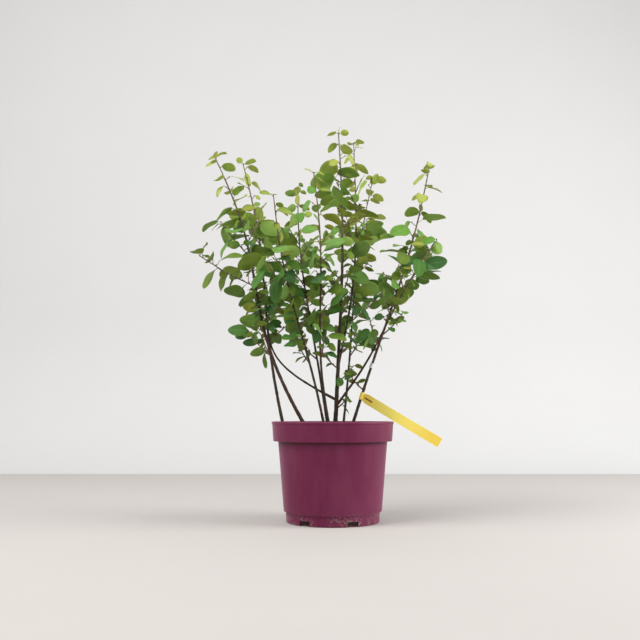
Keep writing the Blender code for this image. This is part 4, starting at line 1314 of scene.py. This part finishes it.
class LeafSettings(bpy.types.PropertyGroup):
    # The greens from deep to lime step up the crown, partly as painted shade low down and painted light high up.
    deep: tint("Deep green", "Leaves low in the crown", (0.060, 0.168, 0.026))
    mid: tint("Green", "Leaves in the middle", (0.118, 0.272, 0.038))
    fresh: tint("Fresh green", "Leaves above the middle", (0.204, 0.346, 0.050))
    light: tint("Light green", "Leaves high in the crown", (0.238, 0.330, 0.050))
    lime: tint("Lime", "Young leaves at the tips", (0.390, 0.450, 0.088))
    pine: tint("Pine green", "Low leaves with a cool tint", (0.046, 0.142, 0.033))
    sage: tint("Sage green", "High leaves with a cool tint", (0.150, 0.305, 0.062))
    moss: tint("Moss green", "Low leaves with a warm tint", (0.120, 0.205, 0.022))
    olive: tint("Olive", "High leaves with a warm tint", (0.300, 0.342, 0.044))
    bronze: tint("Bronze", "Young leaves with a bronze tint", (0.300, 0.260, 0.070))
    heart: tint("Heart", "Colour that a young leaf's middle leans to", (0.200, 0.150, 0.035))
    margin: tint("Margin", "Colour that a young leaf's margin leans to", (0.110, 0.100, 0.022))
    vein: tint("Veins", "Colour that the veins lean to", (0.420, 0.480, 0.200))
    under: tint("Underside", "Colour that the undersides lean to", (0.520, 0.600, 0.130))
    stalk: tint("Stalks", "Colour of the leaf stalks", (0.270, 0.270, 0.090))


class LabelSettings(bpy.types.PropertyGroup):
    loop: tint("Loop", "Colour of the label near its loop", (0.995, 0.720, 0.095))
    # Partly a painted highlight: the strip's yellow is set paler than the plastic's own.
    strip: tint("Strip", "Colour of the label's strip", (0.995, 0.830, 0.150))
    tip: tint("Tip", "Colour of the label near its far end", (0.910, 0.660, 0.075))
    # Painted shade colour for the label's tail seen through its slit.
    fold: tint("Fold", "Colour of the label's shaded tail behind its slit", (0.330, 0.170, 0.020))
    end: tint("Scuffs", "Colour of the label's scuffs", (0.960, 0.850, 0.300))
    tie: tint("Tie", "Colour of the stem's tie", (0.800, 0.800, 0.780))


class StageSettings(bpy.types.PropertyGroup):
    floor: tint("Floor", "Colour of the floor", (0.500, 0.472, 0.450))
    backdrop: tint("Backdrop", "Colour of the backdrop", (0.640, 0.636, 0.634))
    window: FloatProperty(name="Window", description="Power of the main lamp", default=54.0, min=0.0, unit="POWER")
    fill: FloatProperty(name="Fill", description="Power of the filling lamp", default=52.0, min=0.0, unit="POWER")
    sky: FloatProperty(name="Sky", description="Strength of the even light", default=0.66, min=0.0)


class SERVICEBERRY_OT_pot(bpy.types.Operator):
    """Make the turned nursery pot with its drainage notches"""

    bl_idname = "serviceberry.pot"
    bl_label = "Pot"

    def execute(self, context):
        make_pot(context.scene.serviceberry_pot)
        return {"FINISHED"}


class SERVICEBERRY_OT_soil(bpy.types.Operator):
    """Make the soil in the pot and the crumbs on it"""

    bl_idname = "serviceberry.soil"
    bl_label = "Soil"

    def execute(self, context):
        make_soil(context.scene.serviceberry_soil)
        return {"FINISHED"}


class SERVICEBERRY_OT_limbs(bpy.types.Operator):
    """Make the stems, boughs, twigs and buds with their bark"""

    bl_idname = "serviceberry.limbs"
    bl_label = "Stems and twigs"

    def execute(self, context):
        make_limbs(context.scene.serviceberry_bark)
        return {"FINISHED"}


class SERVICEBERRY_OT_leaves(bpy.types.Operator):
    """Make the leaves, joined by their green"""

    bl_idname = "serviceberry.leaves"
    bl_label = "Leaves"

    def execute(self, context):
        make_leaves(context.scene.serviceberry_leaf)
        return {"FINISHED"}


class SERVICEBERRY_OT_label(bpy.types.Operator):
    """Make the blank label and the tie on the right-hand stem"""

    bl_idname = "serviceberry.label"
    bl_label = "Label and tie"

    def execute(self, context):
        make_label(context.scene.serviceberry_label)
        return {"FINISHED"}


class SERVICEBERRY_OT_stage(bpy.types.Operator):
    """Set up the floor, the lamps and the camera"""

    bl_idname = "serviceberry.stage"
    bl_label = "Stage"

    def execute(self, context):
        make_stage(context.scene.serviceberry_stage)
        return {"FINISHED"}


class SERVICEBERRY_PT_panel(bpy.types.Panel):
    """Lists the steps that make the potted serviceberry"""

    bl_label = "Serviceberry"
    bl_space_type = "VIEW_3D"
    bl_region_type = "UI"
    bl_category = "Serviceberry"

    def draw(self, context):
        for operator in OPERATORS:
            self.layout.operator(operator.bl_idname)


SETTINGS = {
    "serviceberry_pot": PotSettings,
    "serviceberry_soil": SoilSettings,
    "serviceberry_bark": BarkSettings,
    "serviceberry_leaf": LeafSettings,
    "serviceberry_label": LabelSettings,
    "serviceberry_stage": StageSettings,
}
OPERATORS = (
    SERVICEBERRY_OT_pot,
    SERVICEBERRY_OT_soil,
    SERVICEBERRY_OT_limbs,
    SERVICEBERRY_OT_leaves,
    SERVICEBERRY_OT_label,
    SERVICEBERRY_OT_stage,
)


def register():
    for kind in (*SETTINGS.values(), *OPERATORS, SERVICEBERRY_PT_panel):
        bpy.utils.register_class(kind)
    for name, kind in SETTINGS.items():
        setattr(bpy.types.Scene, name, PointerProperty(type=kind))


def unregister():
    for name in SETTINGS:
        delattr(bpy.types.Scene, name)
    for kind in (SERVICEBERRY_PT_panel, *reversed(OPERATORS), *SETTINGS.values()):
        bpy.utils.unregister_class(kind)


def main():
    register()
    bpy.ops.serviceberry.pot()
    bpy.ops.serviceberry.soil()
    bpy.ops.serviceberry.limbs()
    bpy.ops.serviceberry.leaves()
    bpy.ops.serviceberry.label()
    bpy.ops.serviceberry.stage()


if __name__ == "__main__":
    main()
